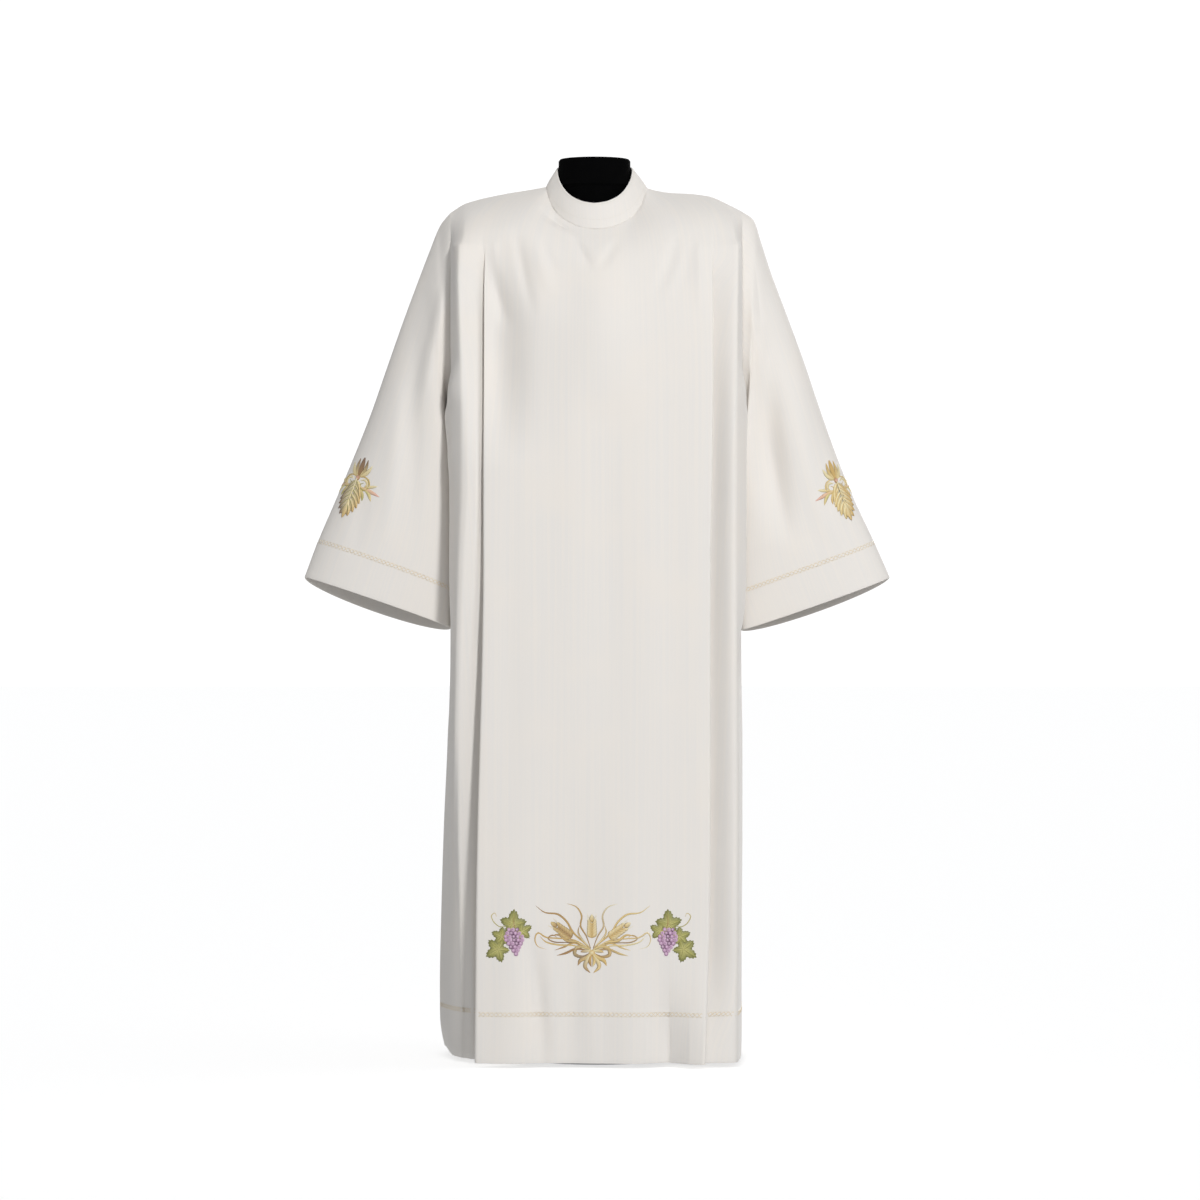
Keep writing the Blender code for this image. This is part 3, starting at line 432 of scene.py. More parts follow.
# soft creases: where each starts, bends and ends across and up, its half width and its rise
creaseNames = "x0 z0 x1 z1 x2 z2 halfWidth rise"
creases = {
    "front": table(creaseNames, [
        (-0.18, 1.43, -0.174, 1.27, -0.166, 1.02, 0.048, -0.04),
        (-0.192, 1.405, -0.175, 1.33, -0.15, 1.25, 0.014, -0.01),
        (0.01, 1.45, 0.008, 1.32, 0.006, 1.1, 0.055, 0.012),
        (-0.14, 1.44, -0.126, 1.36, -0.106, 1.27, 0.0105, -0.0046),
        (-0.092, 1.476, -0.07, 1.44, -0.028, 1.419, 0.008, -0.0046),
        (-0.108, 1.43, -0.096, 1.37, -0.074, 1.305, 0.012, 0.0024),
        (-0.078, 1.462, -0.064, 1.438, -0.036, 1.42, 0.007, -0.0024),
        (-0.095, 1.42, -0.082, 1.38, -0.064, 1.345, 0.009, -0.0018),
        (-0.048, 1.424, -0.028, 1.392, -0.008, 1.35, 0.011, -0.0048),
        (0.036, 1.414, 0.022, 1.385, 0.004, 1.352, 0.01, -0.003),
        (0.14, 1.43, 0.124, 1.365, 0.094, 1.3, 0.012, -0.0036),
        (0.165, 1.42, 0.15, 1.35, 0.128, 1.29, 0.012, -0.0014),
        (-0.1, 1.3, -0.086, 1.18, -0.092, 1, 0.034, -0.0022),
        (-0.052, 1.33, -0.04, 1, -0.046, 0.52, 0.03, 0.0014),
        (0.012, 1.3, 0.02, 0.9, 0.01, 0.35, 0.026, -0.0012),
        (0.07, 1.25, 0.078, 0.95, 0.074, 0.45, 0.028, 0.0014),
        (0.13, 1.3, 0.128, 0.9, 0.134, 0.3, 0.024, -0.0012),
        (-0.14, 1.05, -0.148, 0.7, -0.136, 0.28, 0.022, -0.0013),
        (-0.12, 0.25, -0.101, 0.13, -0.092, -0.07, 0.018, -0.009),
        (-0.02, 0.17, -0.012, 0.1, -0.018, 0.004, 0.02, 0.0016),
        (0.096, 0.22, 0.104, 0.12, 0.098, 0.002, 0.022, -0.0018),
    ]),
    "back": table(creaseNames, [
        (-0.168, 1.44, -0.146, 1.35, -0.104, 1.24, 0.013, -0.005),
        (-0.12, 1.46, -0.108, 1.39, -0.076, 1.29, 0.012, -0.0036),
        (0.126, 1.455, 0.114, 1.38, 0.084, 1.28, 0.012, -0.004),
        (0.172, 1.43, 0.158, 1.35, 0.12, 1.23, 0.013, -0.0048),
        (-0.07, 1.43, -0.06, 1.35, -0.046, 1.26, 0.014, 0.0022),
        (0.066, 1.42, 0.056, 1.33, 0.04, 1.22, 0.014, 0.0026),
        (-0.098, 1.23, -0.09, 0.95, -0.11, 0.5, 0.03, -0.0046),
        (-0.04, 1.18, -0.036, 0.8, -0.05, 0.26, 0.026, 0.004),
        (0.05, 1.22, 0.044, 0.85, 0.058, 0.3, 0.028, -0.0048),
        (0.112, 1.2, 0.118, 0.85, 0.13, 0.42, 0.026, 0.0034),
        (-0.148, 0.82, -0.152, 0.45, -0.16, 0.06, 0.02, -0.0036),
        (0.02, 0.6, 0.014, 0.3, 0.024, 0.004, 0.024, 0.004),
        (0.152, 0.7, 0.148, 0.35, 0.156, 0.01, 0.022, -0.0036),
    ]),
}


def creaseRise(columns, across, up):  # how far the creases lift a cloth, at places across and up
    rise = np.zeros_like(across)
    for x0, z0, x1, z1, x2, z2, halfWidth, height in zip(*(columns[name] for name in creaseNames.split())):
        part = (z0 - up) / (z0 - z2)
        bend = (z0 - z1) / (z0 - z2)
        first, last = (x1 - x0) / bend, (x2 - x1) / (1 - bend)
        middle = x0 + (x2 - x0) * part - (last - first) * part * (1 - part)
        offset = (across - middle) / halfWidth
        ends = np.sin(np.pi * np.clip(part, 0.0, 1.0)) ** creaseForm["endPower"]
        rise += height * ends * np.exp(-offset ** 2)
    return rise


def fluteRise(columns, across, up):
    rise = np.zeros_like(across)
    for xHem, xTop, halfWidth, height, top, sharp in zip(*(columns[name] for name in fluteNames.split())):
        share = (up - body["hemHeight"]) / (top - body["hemHeight"])
        offset = (across - (xHem + (xTop - xHem) * share)) / halfWidth
        inside = (share < 1) & (np.abs(offset) < 1)
        form = np.cos(offset * np.pi / 2) ** 2
        ridge = np.maximum(0.0, fluteForm["crest"] - np.sqrt(offset ** 2 + fluteForm["blunt"]))
        form += (ridge - form) * sharp
        rise += np.where(inside, height * smooth(1 - share) * form, 0.0)
    return rise


# the lines that the pieces share

neckCount = body["neckColumns"]
innerCount = neckCount + len(body["shoulderColumns"]) - 1
innerPlaces = np.arange(0, innerCount * body["columnsFine"] + 1) / body["columnsFine"]
chestSteps = table("place x", [
    *[(step, body["chestColumns"][0] * step / neckCount) for step in range(neckCount)],
    *[(neckCount + step, x) for step, x in enumerate(body["chestColumns"])],
])
topSteps = table("place x", [(neckCount + step, x) for step, x in enumerate(body["shoulderColumns"])])
pleatPoints = 2 * (pleat["stepsTurn"] + pleat["stepsLayer"]) + 1
stripPoints = pleat["stepsRidge"] + sideRoll["steps"]


def neckPoint(oval, name, angle, side):
    turn = np.radians(angle)
    reach = np.where(angle <= 90, oval["front"], oval["back"])
    x = oval["middle"] + side * oval["halfWidth"] * np.sin(turn)
    z = readCurve(neckLine, name, angle, "angle", level=True)
    return np.stack([x, -reach * np.cos(turn), z], axis=-1)


def topRow(face, side):
    atNeck = innerPlaces[innerPlaces <= neckCount]
    turn = 90 * atNeck / neckCount
    seam = neckPoint(neckSeam, "seam", turn if face == "front" else 180 - turn, side)
    seam[-1] = (side * neckSeam["halfWidth"], 0.0, shoulder[side]["z"][0])
    out = readCurve(topSteps, "x", innerPlaces[innerPlaces > neckCount], "place")
    edge = levels["front"]["edge" + sideNames[side]][0]
    folded = np.linspace(edge - pleat["before"], edge + pleat["after"], pleatPoints)
    strip = np.linspace(folded[-1], body["shoulderPoint"], stripPoints + 1)[1:]
    out = np.concatenate([out, folded, strip])
    line = np.stack([side * out, np.zeros_like(out), readCurve(shoulder[side], "z", out, "x")], axis=-1)
    return np.concatenate([seam, line])


# the pleat's points: out to its edge, round and back in, round again and out behind to the valley
def pleatLine(value, edge, valley, backReach, third, folded):
    turn, outer = value["turn"], value["edge"]
    angle = np.linspace(0, np.pi, pleat["stepsTurn"] + 1)
    between = np.arange(1, pleat["stepsLayer"]) / pleat["stepsLayer"]
    flatEnd = edge - turn
    tuckEnd = flatEnd - value["tuck"]
    x = np.concatenate([
        flatEnd + turn * np.sin(angle),
        flatEnd + (tuckEnd - flatEnd) * between,
        tuckEnd - turn * np.sin(angle),
        tuckEnd + (valley - tuckEnd) * between,
        [valley],
    ])
    outerBack, innerFront = outer - 2 * turn, backReach + 2 * turn
    reach = np.concatenate([
        outer - turn + turn * np.cos(angle),
        outerBack + (innerFront - outerBack) * between,
        backReach + turn + turn * np.cos(angle),
        np.full(len(between) + 1, backReach),
    ])
    spread = np.linspace(0, 1, pleatPoints)
    openX, openReach = flatEnd + (valley - flatEnd) * spread, outer - third * smooth(spread)
    return openX + (x - openX) * folded, openReach + (reach - openReach) * folded


# shares of the way from the ridge back to the side seam, and what stands out from that way
def rollLine(face, side, height):
    name, form = sideNames[side], sideRoll
    lipStart, lipRun = form["lipShiftFrom"], form["lipShiftRun"]
    share = np.arange(1, form["steps"] + 1) / form["steps"]
    out, back = readCurve(roll, "out", share, "share"), readCurve(roll, "back", share, "share")
    if side == left and face == "front":  # toward the hem the left side falls away in a flatter slope
        slant = smooth((form["slantTop"] - height) / (form["slantTop"] - form["slantFull"]))
        slant = form["slantMost"] * slant
        out, back = out + (share - out) * slant, back + (share - back) * slant
    inward = readCurve(sides, "sunk", height) * smooth(4 * share - 3)
    if face == "back":
        tuck = smooth((1 - np.abs(back - form["tuckMiddle"]) / form["tuckHalf"]) * form["tuckSteepness"])
        return out, back, inward, -readCurve(tucks, name, height) * tuck
    bulge = np.clip((back - form["bulgeStart"]) / (1 - form["bulgeStart"]), 0, 1)
    bulge = readCurve(bulges, name, height) * np.sin(np.pi * bulge) ** form["bulgePower"]
    lipEnd = form["lipEnd"] + form["lipShift"][side] * smooth((height - lipStart) / lipRun)
    lip = readCurve(lips, name, height) * smooth(back / form["lipFull"])
    return out, back, inward, bulge + lip * smooth((lipEnd - back) / form["lipFade"])


def levelRow(face, side, height, folded=1.0):  # half a panel's row, from the middle out to the seam
    forward = -1 if face == "front" else 1
    name = sideNames[side]
    both = levels[face], pleats[face]
    value = {key: readCurve(columns, key, height) for columns in both for key in columns}
    edge, ridge = value["edge" + name], value["ridge" + name]
    seam, seamReach = readCurve(sides, name, height), readCurve(sides, "reach", height)
    folded = folded * smooth((body["chestHeight"] - height) / pleat["opens"][side])
    third = value["third" + name] * (pleat["thirdLeast"] + (1 - pleat["thirdLeast"]) * folded)
    backReach = value["edge"] - third
    inner = readCurve(chestSteps, "x", innerPlaces, "place") * edge / levels[face]["edge" + name][0]
    innerReach = value["middle"] + (value["edge"] - value["middle"]) * (inner / edge) ** 2
    valley = edge + pleat["valleyOffset"][side]
    pleatX, pleatReach = pleatLine(value, edge, valley, backReach, third, folded)

    # the ridge beside the pleat, and the roll from it back to the seam
    part = np.arange(1, pleat["stepsRidge"] + 1) / pleat["stepsRidge"]
    spread = value["spreadLeft"] if side == left and face == "front" else 1.0
    rise = value["rise" + name] * folded
    ridgeReach = backReach + rise
    out, back, inward, bulge = rollLine(face, side, height)
    rollX = ridge + (seam - ridge) * out - inward + bulge
    x = np.concatenate([inner, pleatX, valley + (ridge - valley) * part, rollX])
    reach = np.concatenate([innerReach, pleatReach, backReach + rise * smooth(part / spread),
                            ridgeReach - (ridgeReach - seamReach) * back])

    bump = np.where(reach > seamReach + 1e-6, fluteRise(flutes[face], side * x, height), 0.0)
    dip = value["dip"] * np.maximum(0.0, 1 - (x / body["dipHalfWidth"]) ** 2) ** 2
    liftStart, lift = body["hemLift"][side]
    low = np.clip((body["hemLiftTop"] - height) / (body["hemLiftTop"] - body["hemHeight"]), 0.0, 1.0)
    rise = lift * low * smooth((x - liftStart) / (seam - liftStart))
    return np.stack([side * x, forward * (reach + bump), height - dip + rise], axis=-1)


def shoulderRows(face, side, top):  # between the upper edge and the chest each column rolls over
    forward = -1 if face == "front" else 1
    flat, neckSide, neckMiddle = rollOver["slopes"][face]
    columns = body["shoulderColumns"]
    out = np.abs(top[:, 0])
    atNeck = np.maximum(0.0, 1 - (out / neckSeam["halfWidth"]) ** 2)
    nearNeck = smooth((body["shoulderPoint"] - out) / (body["shoulderPoint"] - neckSeam["halfWidth"]))
    slope = flat + (neckSide - flat) * nearNeck + (neckMiddle - neckSide) * atNeck
    fan = smooth((columns[-1] - out) / (columns[-1] - columns[1]))
    lower, below = (levelRow(face, side, body["chestHeight"] - down, 0.0) for down in (0.0, 0.01))
    lean = (lower - below) / (lower - below)[:, 2:]
    ahead = rollOver["ahead"] * np.abs(lower[:, 1] - top[:, 1])
    fall = top[:, 2] - lower[:, 2]
    first, last = top.copy(), lower.copy()
    first[:, 0] += body["columnFan"] * fan * (lower[:, 0] - top[:, 0])
    first[:, 1] += forward * ahead
    first[:, 2] -= np.minimum(slope * ahead, rollOver["mostFall"] * fall)
    last += lean * (1, rollOver["lean"], 1) * rollOver["leanFall"] * fall[:, None]
    rows = []
    for step in range(1, body["rowsShoulder"]):
        share = step / body["rowsShoulder"]
        rows.append((1 - share) ** 3 * top + 3 * share * (1 - share) ** 2 * first
                    + 3 * share ** 2 * (1 - share) * last + share ** 3 * lower)
    return rows


def relax(points, weight, rounds):  # each point moves to the line between its neighbours
    across = np.linalg.norm(np.diff(points, axis=1), axis=-1)[1:-1, :, None] + 1e-9
    down = np.linalg.norm(np.diff(points, axis=0), axis=-1)[:, 1:-1, None] + 1e-9
    acrossShare = across[:, :-1] / (across[:, :-1] + across[:, 1:])
    downShare = down[:-1] / (down[:-1] + down[1:])
    for _ in range(rounds):
        level = points[1:-1, :-2] * (1 - acrossShare) + points[1:-1, 2:] * acrossShare
        upright = points[:-2, 1:-1] * (1 - downShare) + points[2:, 1:-1] * downShare
        points = points.copy()
        points[1:-1, 1:-1] += ((level + upright) / 2 - points[1:-1, 1:-1]) * weight[1:-1, 1:-1]
    return points


def bodyPanel(face):  # rows from the shoulder to the hem, columns from the left seam to the right
    armhole = np.linspace(body["chestHeight"], body["underarmHeight"], body["rowsArmhole"])
    skirt = np.linspace(body["underarmHeight"], body["hemHeight"], body["rowsSkirt"])[1:]
    halves = {}
    for side in (left, right):
        top = topRow(face, side)
        rows = [levelRow(face, side, height) for height in (*armhole, *skirt)]
        halves[side] = np.array([top, *shoulderRows(face, side, top), *rows])
    panel = np.concatenate([halves[left][:, :0:-1], halves[right]], axis=1)
    row = np.arange(len(panel))[:, None]
    inside = smooth((calm["width"] - np.abs(panel[..., 0])) / calm["edge"])
    outer = smooth((body["rowsShoulder"] - row) / calm["fadeChest"])
    inner = smooth((body["rowsShoulder"] + calm["rows"] - row) / calm["fadeBelow"])
    weight = smooth(row / calm["fadeTop"]) * (outer * (1 - inside) + inner * inside)
    panel = relax(panel, weight[..., None], calm["rounds"])
    seamStart = body["shoulderPoint"] - creaseForm["seamMargin"]
    seamFade = smooth((seamStart - np.abs(panel[..., 0])) / creaseForm["seamFade"])
    forward = -1 if face == "front" else 1
    panel[1:, :, 1] += (forward * creaseRise(creases[face], panel[..., 0], panel[..., 2]) * seamFade)[1:]
    return panel


# the sleeves

sleeve = {
    "settle": 0.30,
    "join": 0.05,
    "swell": 1.08,
    "roundness": {left: (1.15, 0.34), right: (0.95, 0.26)},
    "hollow": {left: 0.90, right: 0.40},
    "hollowForm": 0.80,
    "hollowFull": 0.045,
    "hollowFade": (0.15, 0.45),
    "hollowDepth": (0.3, 0.25),
    "sagStart": 0.45,
    "sag": {left: {"front": -0.004, "back": 0.018}, right: {"front": 0.003, "back": 0.016}},
    "rows": 110,
    "hemDepth": 0.066,
    "line": table("share LeftX LeftZ RightX RightZ lowLeftX lowLeftZ lowRightX lowRightZ depth", [
        (0, 0.254, 1.465, 0.254, 1.4665, 0.2515, 1.12, 0.2515, 1.12, 0.063),
        (0.035, 0.2706, 1.4445, 0.272, 1.454, 0.261, 1.116, 0.2605, 1.116, 0.068),
        (0.1, 0.2897, 1.399, 0.286, 1.414, 0.259, 1.1, 0.2585, 1.1, 0.071),
        (0.18, 0.309, 1.3486, 0.301, 1.367, 0.2545, 1.064, 0.2535, 1.064, 0.071),
        (0.3, 0.337, 1.273, 0.33, 1.289, 0.2515, 1.014, 0.25, 1.014, 0.068),
        (0.42, 0.3635, 1.1974, 0.358, 1.213, 0.2505, 0.966, 0.2485, 0.966, 0.065),
        (0.55, 0.392, 1.1155, 0.386, 1.13, 0.2503, 0.916, 0.2482, 0.916, 0.062),
        (0.68, 0.4245, 1.0336, 0.416, 1.045, 0.2505, 0.866, 0.2485, 0.866, 0.059),
        (0.8, 0.4565, 0.958, 0.448, 0.966, 0.251, 0.82, 0.249, 0.82, 0.056),
        (0.9, 0.4835, 0.895, 0.4795, 0.899, 0.252, 0.782, 0.25, 0.781, 0.053),
        (1, 0.507, 0.832, 0.509, 0.832, 0.2535, 0.744, 0.2515, 0.741, 0.05),
    ]),
    # creases of the front and back layers: x and z as seen from the front
    "creases": {
        left: table(creaseNames, [
            (0.312, 1.28, 0.314, 1.08, 0.322, 0.88, 0.015, -0.0052),
            (0.345, 1.17, 0.352, 1.02, 0.372, 0.85, 0.016, 0.0022),
            (0.33, 1.23, 0.33, 1.06, 0.346, 0.88, 0.011, -0.0018),
            (0.28, 1.38, 0.276, 1.2, 0.28, 0.9, 0.013, 0.0024),
            (0.395, 1.05, 0.404, 0.96, 0.426, 0.84, 0.015, -0.0024),
        ]),
        right: table(creaseNames, [
            (0.284, 1.38, 0.282, 1.2, 0.286, 0.9, 0.013, 0.0026),
            (0.285, 1.26, 0.294, 1.06, 0.33, 0.885, 0.034, -0.022),
            (0.346, 1.24, 0.36, 1.05, 0.398, 0.88, 0.026, 0.008),
            (0.296, 1.09, 0.312, 0.99, 0.332, 0.88, 0.012, -0.003),
            (0.316, 1.25, 0.322, 1.1, 0.352, 0.9, 0.014, 0.0024),
            (0.352, 1.12, 0.362, 1, 0.388, 0.85, 0.015, -0.0022),
            (0.4, 1.02, 0.41, 0.94, 0.43, 0.84, 0.014, 0.002),
        ]),
    },
}


def sleeveRings(side, front, back):  # rings from the armhole, whose points both panels share
    column = 0 if side == left else -1
    last = body["rowsShoulder"] + body["rowsArmhole"] - 1
    armhole = np.concatenate([front[:last + 1, column], back[last - 1:0:-1, column]])
    line, name = sleeve["line"], sideNames[side]
    angle = 2 * np.pi * np.arange(len(armhole)) / len(armhole)
    atArmhole = (armhole[0, 2] - armhole[:, 2]) / (armhole[0, 2] - body["underarmHeight"])
    outer, inner = sleeve["roundness"][side]
    roundness = inner + (outer - inner) * (1 + np.cos(angle)) / 2
    swell = np.sign(np.sin(angle)) * np.abs(np.sin(angle)) ** roundness
    fadeStart, fadeRun = sleeve["hollowFade"]
    deepStart, deepRun = sleeve["hollowDepth"]
    rings = []
    for share in np.linspace(0, 1, sleeve["rows"]):
        at = {key: readCurve(line, key, share, "share") for key in line}
        upper = np.array([side * at[name + "X"], 0.0, at[name + "Z"]])
        lower = np.array([side * at[f"low{name}X"], 0.0, at[f"low{name}Z"]])
        along = unit(np.array([upper[2] - lower[2], 0.0, lower[0] - upper[0]]) * side)
        settled = smooth(share / sleeve["settle"])
        sag = smooth((share - sleeve["sagStart"]) / (1 - sleeve["sagStart"]))
        down = atArmhole + ((1 - np.cos(angle)) / 2 - atArmhole) * settled
        depth = armhole[:, 1] * sleeve["swell"]
        depth = depth + (-at["depth"] * swell - depth) * settled
        flat = -at["depth"] * np.minimum(1.0, 2 * down) ** sleeve["hollowForm"]
        hollow = smooth(share / sleeve["hollowFull"]) * (1 - smooth((share - fadeStart) / fadeRun))
        hollow = hollow * (1 - smooth((down - deepStart) / deepRun))
        depth = depth + (flat - depth) * sleeve["hollow"][side] * hollow * (depth < 0)
        drop = sag * np.abs(np.sin(angle))
        drop = drop * np.where(depth < 0, sleeve["sag"][side]["front"], sleeve["sag"][side]["back"])
        ring = upper + (lower - upper) * down[:, None] + along * drop[:, None]
        ring[:, 1] += depth
        if not rings:
            toArmhole = armhole - ring
        ring += toArmhole * (1 - smooth(share / sleeve["join"]))
        rise = creaseRise(sleeve["creases"][side], side * ring[:, 0], ring[:, 2]) * np.abs(np.sin(angle))
        ring[:, 1] += np.sign(depth) * rise * smooth(share / sleeve["join"] - 0.5)
        rings.append(ring)
    return np.array(rings)


# the collar

collar = {"wall": 0.0026, "rows": 16, "slit": 0.0006, "bow": 0.0012}


def collarRings(front, back):  # from the neck seam up to the rim, open at the centre back
    middle = front.shape[1] // 2
    count = neckCount * body["columnsFine"]
    leftBack, leftFront = back[0, middle - count + 1:middle + 1][::-1], front[0, middle - count:middle]
    rightFront, rightBack = front[0, middle:middle + count + 1], back[0, middle:middle + count][::-1]
    seam = np.concatenate([leftBack, leftFront, rightFront, rightBack])
    angles = np.linspace(-180, 180, len(seam))
    rim = neckPoint(collarRim, "rim", np.abs(angles), np.where(angles < 0, -1, 1))
    outward = unit(rim * (1, 1, 0))
    rings = np.array([seam + (rim - seam) * share + outward * collar["bow"] * math.sin(math.pi * share)
                      for share in np.linspace(0, 1, collar["rows"])])
    rings[:, 0, 0] -= collar["slit"] / 2
    rings[:, -1, 0] += collar["slit"] / 2
    return rings


# walls on the grids of points


def gridNormals(points, closed):
    if closed:
        across = np.roll(points, -1, axis=1) - np.roll(points, 1, axis=1)
    else:
        across = np.gradient(points, axis=1)
    return unit(np.cross(across, np.gradient(points, axis=0)))


def makeCloth(group, points, outward, closed=False, sewn=("top",), fromMiddle=True, lifted=0.0):
    normals = gridNormals(points, closed)
    if np.sum(normals * outward) < 0:
        normals = -normals
    steps = np.linalg.norm(np.diff(points, axis=1), axis=-1)
    u = np.concatenate([np.zeros((len(points), 1)), np.cumsum(steps, axis=1)], axis=1)
    if fromMiddle:
        u -= u[:, u.shape[1] // 2][:, None]
    falls = np.linalg.norm(np.diff(points, axis=0), axis=-1)
    v = np.concatenate([np.cumsum(falls[::-1], axis=0)[::-1], np.zeros((1, points.shape[1]))])
    return {"group": group, "points": points, "normals": normals, "closed": closed, "sewn": sewn,
            "u": u, "v": v + lifted, "mitre": np.ones(points.shape[:2])}


seamForm = {"digits": 6, "leastLean": 0.1, "mostMitre": 2.0}


def sewTogether(pieces):  # shared seam points get one mitred normal
    edges = {"top": np.s_[0, :], "left": np.s_[:, 0], "right": np.s_[:, -1]}
    found = {}
    for piece in pieces:
        for name in piece["sewn"]:
            for point, normal in zip(piece["points"][edges[name]], piece["normals"][edges[name]]):
                groups = found.setdefault(tuple(np.round(point, seamForm["digits"])), {})
                groups[piece["group"]] = groups.get(piece["group"], np.zeros(3)) + normal
    shared = {key: sum(unit(normal) for normal in groups.values()) for key, groups in found.items()}
    for piece in pieces:
        changes = []
        for name in piece["sewn"]:
            edge = edges[name]
            places = np.round(piece["points"][edge], seamForm["digits"])
            normals = unit(np.array([shared[tuple(place)] for place in places]))
            lean = np.maximum(np.sum(normals * piece["normals"][edge], axis=1), seamForm["leastLean"])
            piece["mitre"][edge] = np.minimum(1 / lean, seamForm["mostMitre"])
            changes.append((edge, normals))
        for edge, normals in changes:
            piece["normals"][edge] = normals


def clothMesh(name, piece, wall):  # a closed wall whose free lower edge is a soft fold
    half = piece["normals"] * (piece["mitre"] * wall / 2)[..., None]
    outer, inner = piece["points"] + half, piece["points"] - half
    away = unit(piece["points"][-1] - piece["points"][-2])
    radius = np.linalg.norm(half[-1], axis=-1, keepdims=True)
    turns = [math.pi * step / body["foldSteps"] for step in range(1, body["foldSteps"])]
    edge = piece["points"][-1]
    fold = [edge + half[-1] * math.cos(turn) + away * radius * math.sin(turn) for turn in turns]
    around = np.concatenate([outer, np.array(fold), inner[::-1]])
    edgeU = np.repeat(piece["u"][-1:], len(fold), axis=0)
    us = np.concatenate([piece["u"], edgeU, piece["u"][::-1]])
    vs = np.concatenate([piece["v"], np.zeros_like(edgeU), piece["v"][::-1]])
    count, columns, rows = len(around), piece["points"].shape[1], len(outer)
    spans = range(columns if piece["closed"] else columns - 1)
    mesh = bmesh.new()
    uvMap = mesh.loops.layers.uv.new("cloth")
    grid = [[mesh.verts.new(point) for point in row] for row in around]

    def addFace(places):
        face = mesh.faces.new([grid[row][column % columns] for row, column in places])
        face.smooth = True
        for loop, (row, column) in zip(face.loops, places):
            loop[uvMap].uv = (us[row, column], vs[row, column])

    for row in range(count - 1):
        for column in spans:
            addFace([(row, column), (row, column + 1), (row + 1, column + 1), (row + 1, column)])
    for column in spans:
        addFace([(0, column), (count - 1, column), (count - 1, column + 1), (0, column + 1)])
    if not piece["closed"]:
        for column in (0, columns - 1):
            for row in range(rows - 1):
                low = count - 1 - row
                addFace([(row, column), (row + 1, column), (low - 1, column), (low, column)])
            addFace([(row, column) for row in range(rows - 1, count - rows + 1)])
    bmesh.ops.recalc_face_normals(mesh, faces=mesh.faces)
    data = bpy.data.meshes.new(name)
    mesh.to_mesh(data)
    mesh.free()
    data.set_sharp_from_angle(angle=math.radians(body["sharpAngle"]))
    return data


def addPiece(name, data, material, *nodes):
    data.materials.append(material)
    piece = bpy.data.objects.new(name, data)
    scene.collection.objects.link(piece)
    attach(piece, "root")
    if nodes:
        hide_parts(*nodes)
    return piece


# the materials

clothLook = {
    "colour": (0.806, 0.766, 0.718, 1.0),
    "warm": (0.820, 0.771, 0.713, 1.0),
    "cool": (0.782, 0.752, 0.716, 1.0),
    "roughness": 0.78,
    "ribRoughness": 0.08,
    "sheen": 0.22,
    "sheenRoughness": 0.45,
    "specular": 0.3,
    "threadPitch": 0.0007,
    "ribWidth": 0.0056,
    "ribRun": 1.6,
    "slubAcross": 30.0,
    "slubAlong": 900.0,
    "mottle": 7.0,
    "ribTone": (0.35, 0.68),
    "warmTone": (0.45, 0.75),
    "warmShare": 0.6,
    "slubTone": (0.62, 0.8),
    "slubShare": 0.35,
    "weaveDepth": 0.00005,
    "slubDepth": 0.0001,
    "ribDepth": 0.00022,
    "bump": 0.55,
}


def clothMaterial(name):
    look, graph = clothLook, Graph(bpy.data.materials.new(name))
    place = graph.node("UVMap", {"uv_map": "cloth"})
    u, v = (graph.node("SeparateXYZ", None, place, output=output) for output in (0, 1))
    turn = 2 * math.pi / look["threadPitch"]
    weave = (u * turn).sum("SINE") * (v * turn).sum("SINE")
    across = graph.node("CombineXYZ", None, u * (1 / look["ribWidth"]), v * look["ribRun"], 0.0)
    rib = graph.noise(across, 1.0, 3.0, 0.6)
    along = graph.node("CombineXYZ", None, u * look["slubAcross"], v * look["slubAlong"], 0.0)
    slub = graph.noise(along, 1.0, 2.0)
    wide = graph.noise(place, look["mottle"], 2.0)
    tone = graph.mix(graph.ramp(rib, *look["ribTone"]), look["cool"], look["colour"])
    tone = graph.mix(graph.ramp(wide, *look["warmTone"]) * look["warmShare"], tone, look["warm"])
    tone = graph.mix(graph.ramp(slub, *look["slubTone"]) * look["slubShare"], tone, look["cool"])
    height = rib * look["ribDepth"] + slub * look["slubDepth"] + weave * look["weaveDepth"]
    return graph.finish(Base_Color=tone, Roughness=look["roughness"] + rib * look["ribRoughness"],
                        Normal=graph.bump(look["bump"], height), Sheen_Weight=look["sheen"],
                        Sheen_Roughness=look["sheenRoughness"], Specular_IOR_Level=look["specular"])


threadLook = {
    "pitch": 0.00045,
    "depth": 0.00006,
    "roughness": 0.42,
    "sheen": 0.25,
    # gap: the grey painted into the grooves between the threads, a painted shade
    "gap": (0.72, 0.72, 0.72, 1.0),
    "grooveShadeShare": 0.6,
    "grooveShadeTone": (-1.0, 0.2),
    "bump": 0.7,
}


def threadMaterial(name):  # satin stitch: fine threads across each stroke, its colours from the mesh
    look, graph = threadLook, Graph(bpy.data.materials.new(name))
    colour = graph.node("Attribute", {"attribute_name": "thread"})
    along = graph.node("SeparateXYZ", None, graph.node("UVMap", {"uv_map": "stitch"}))
    wave = (along * (2 * math.pi / look["pitch"])).sum("SINE")
    # the grooves between the threads are painted darker where the bump is lowest: painted shade
    shade = graph.mix(graph.ramp(wave, *look["grooveShadeTone"]), look["gap"], white)
    tone = graph.mix(look["grooveShadeShare"], colour, shade, "MULTIPLY")
    return graph.finish(Base_Color=tone, Roughness=look["roughness"], Sheen_Weight=look["sheen"],
                        Normal=graph.bump(look["bump"], wave * look["depth"]))


jerseyLook = {
    "dark": (0.0008, 0.0008, 0.0009, 1.0),
    "light": (0.0018, 0.0018, 0.0019, 1.0),
    "ribs": 230.0,
    "mottle": 60.0,
    "depth": 0.0002,
    "roughness": 0.95,
    "specular": 0.03,
    "bump": 0.3,
}


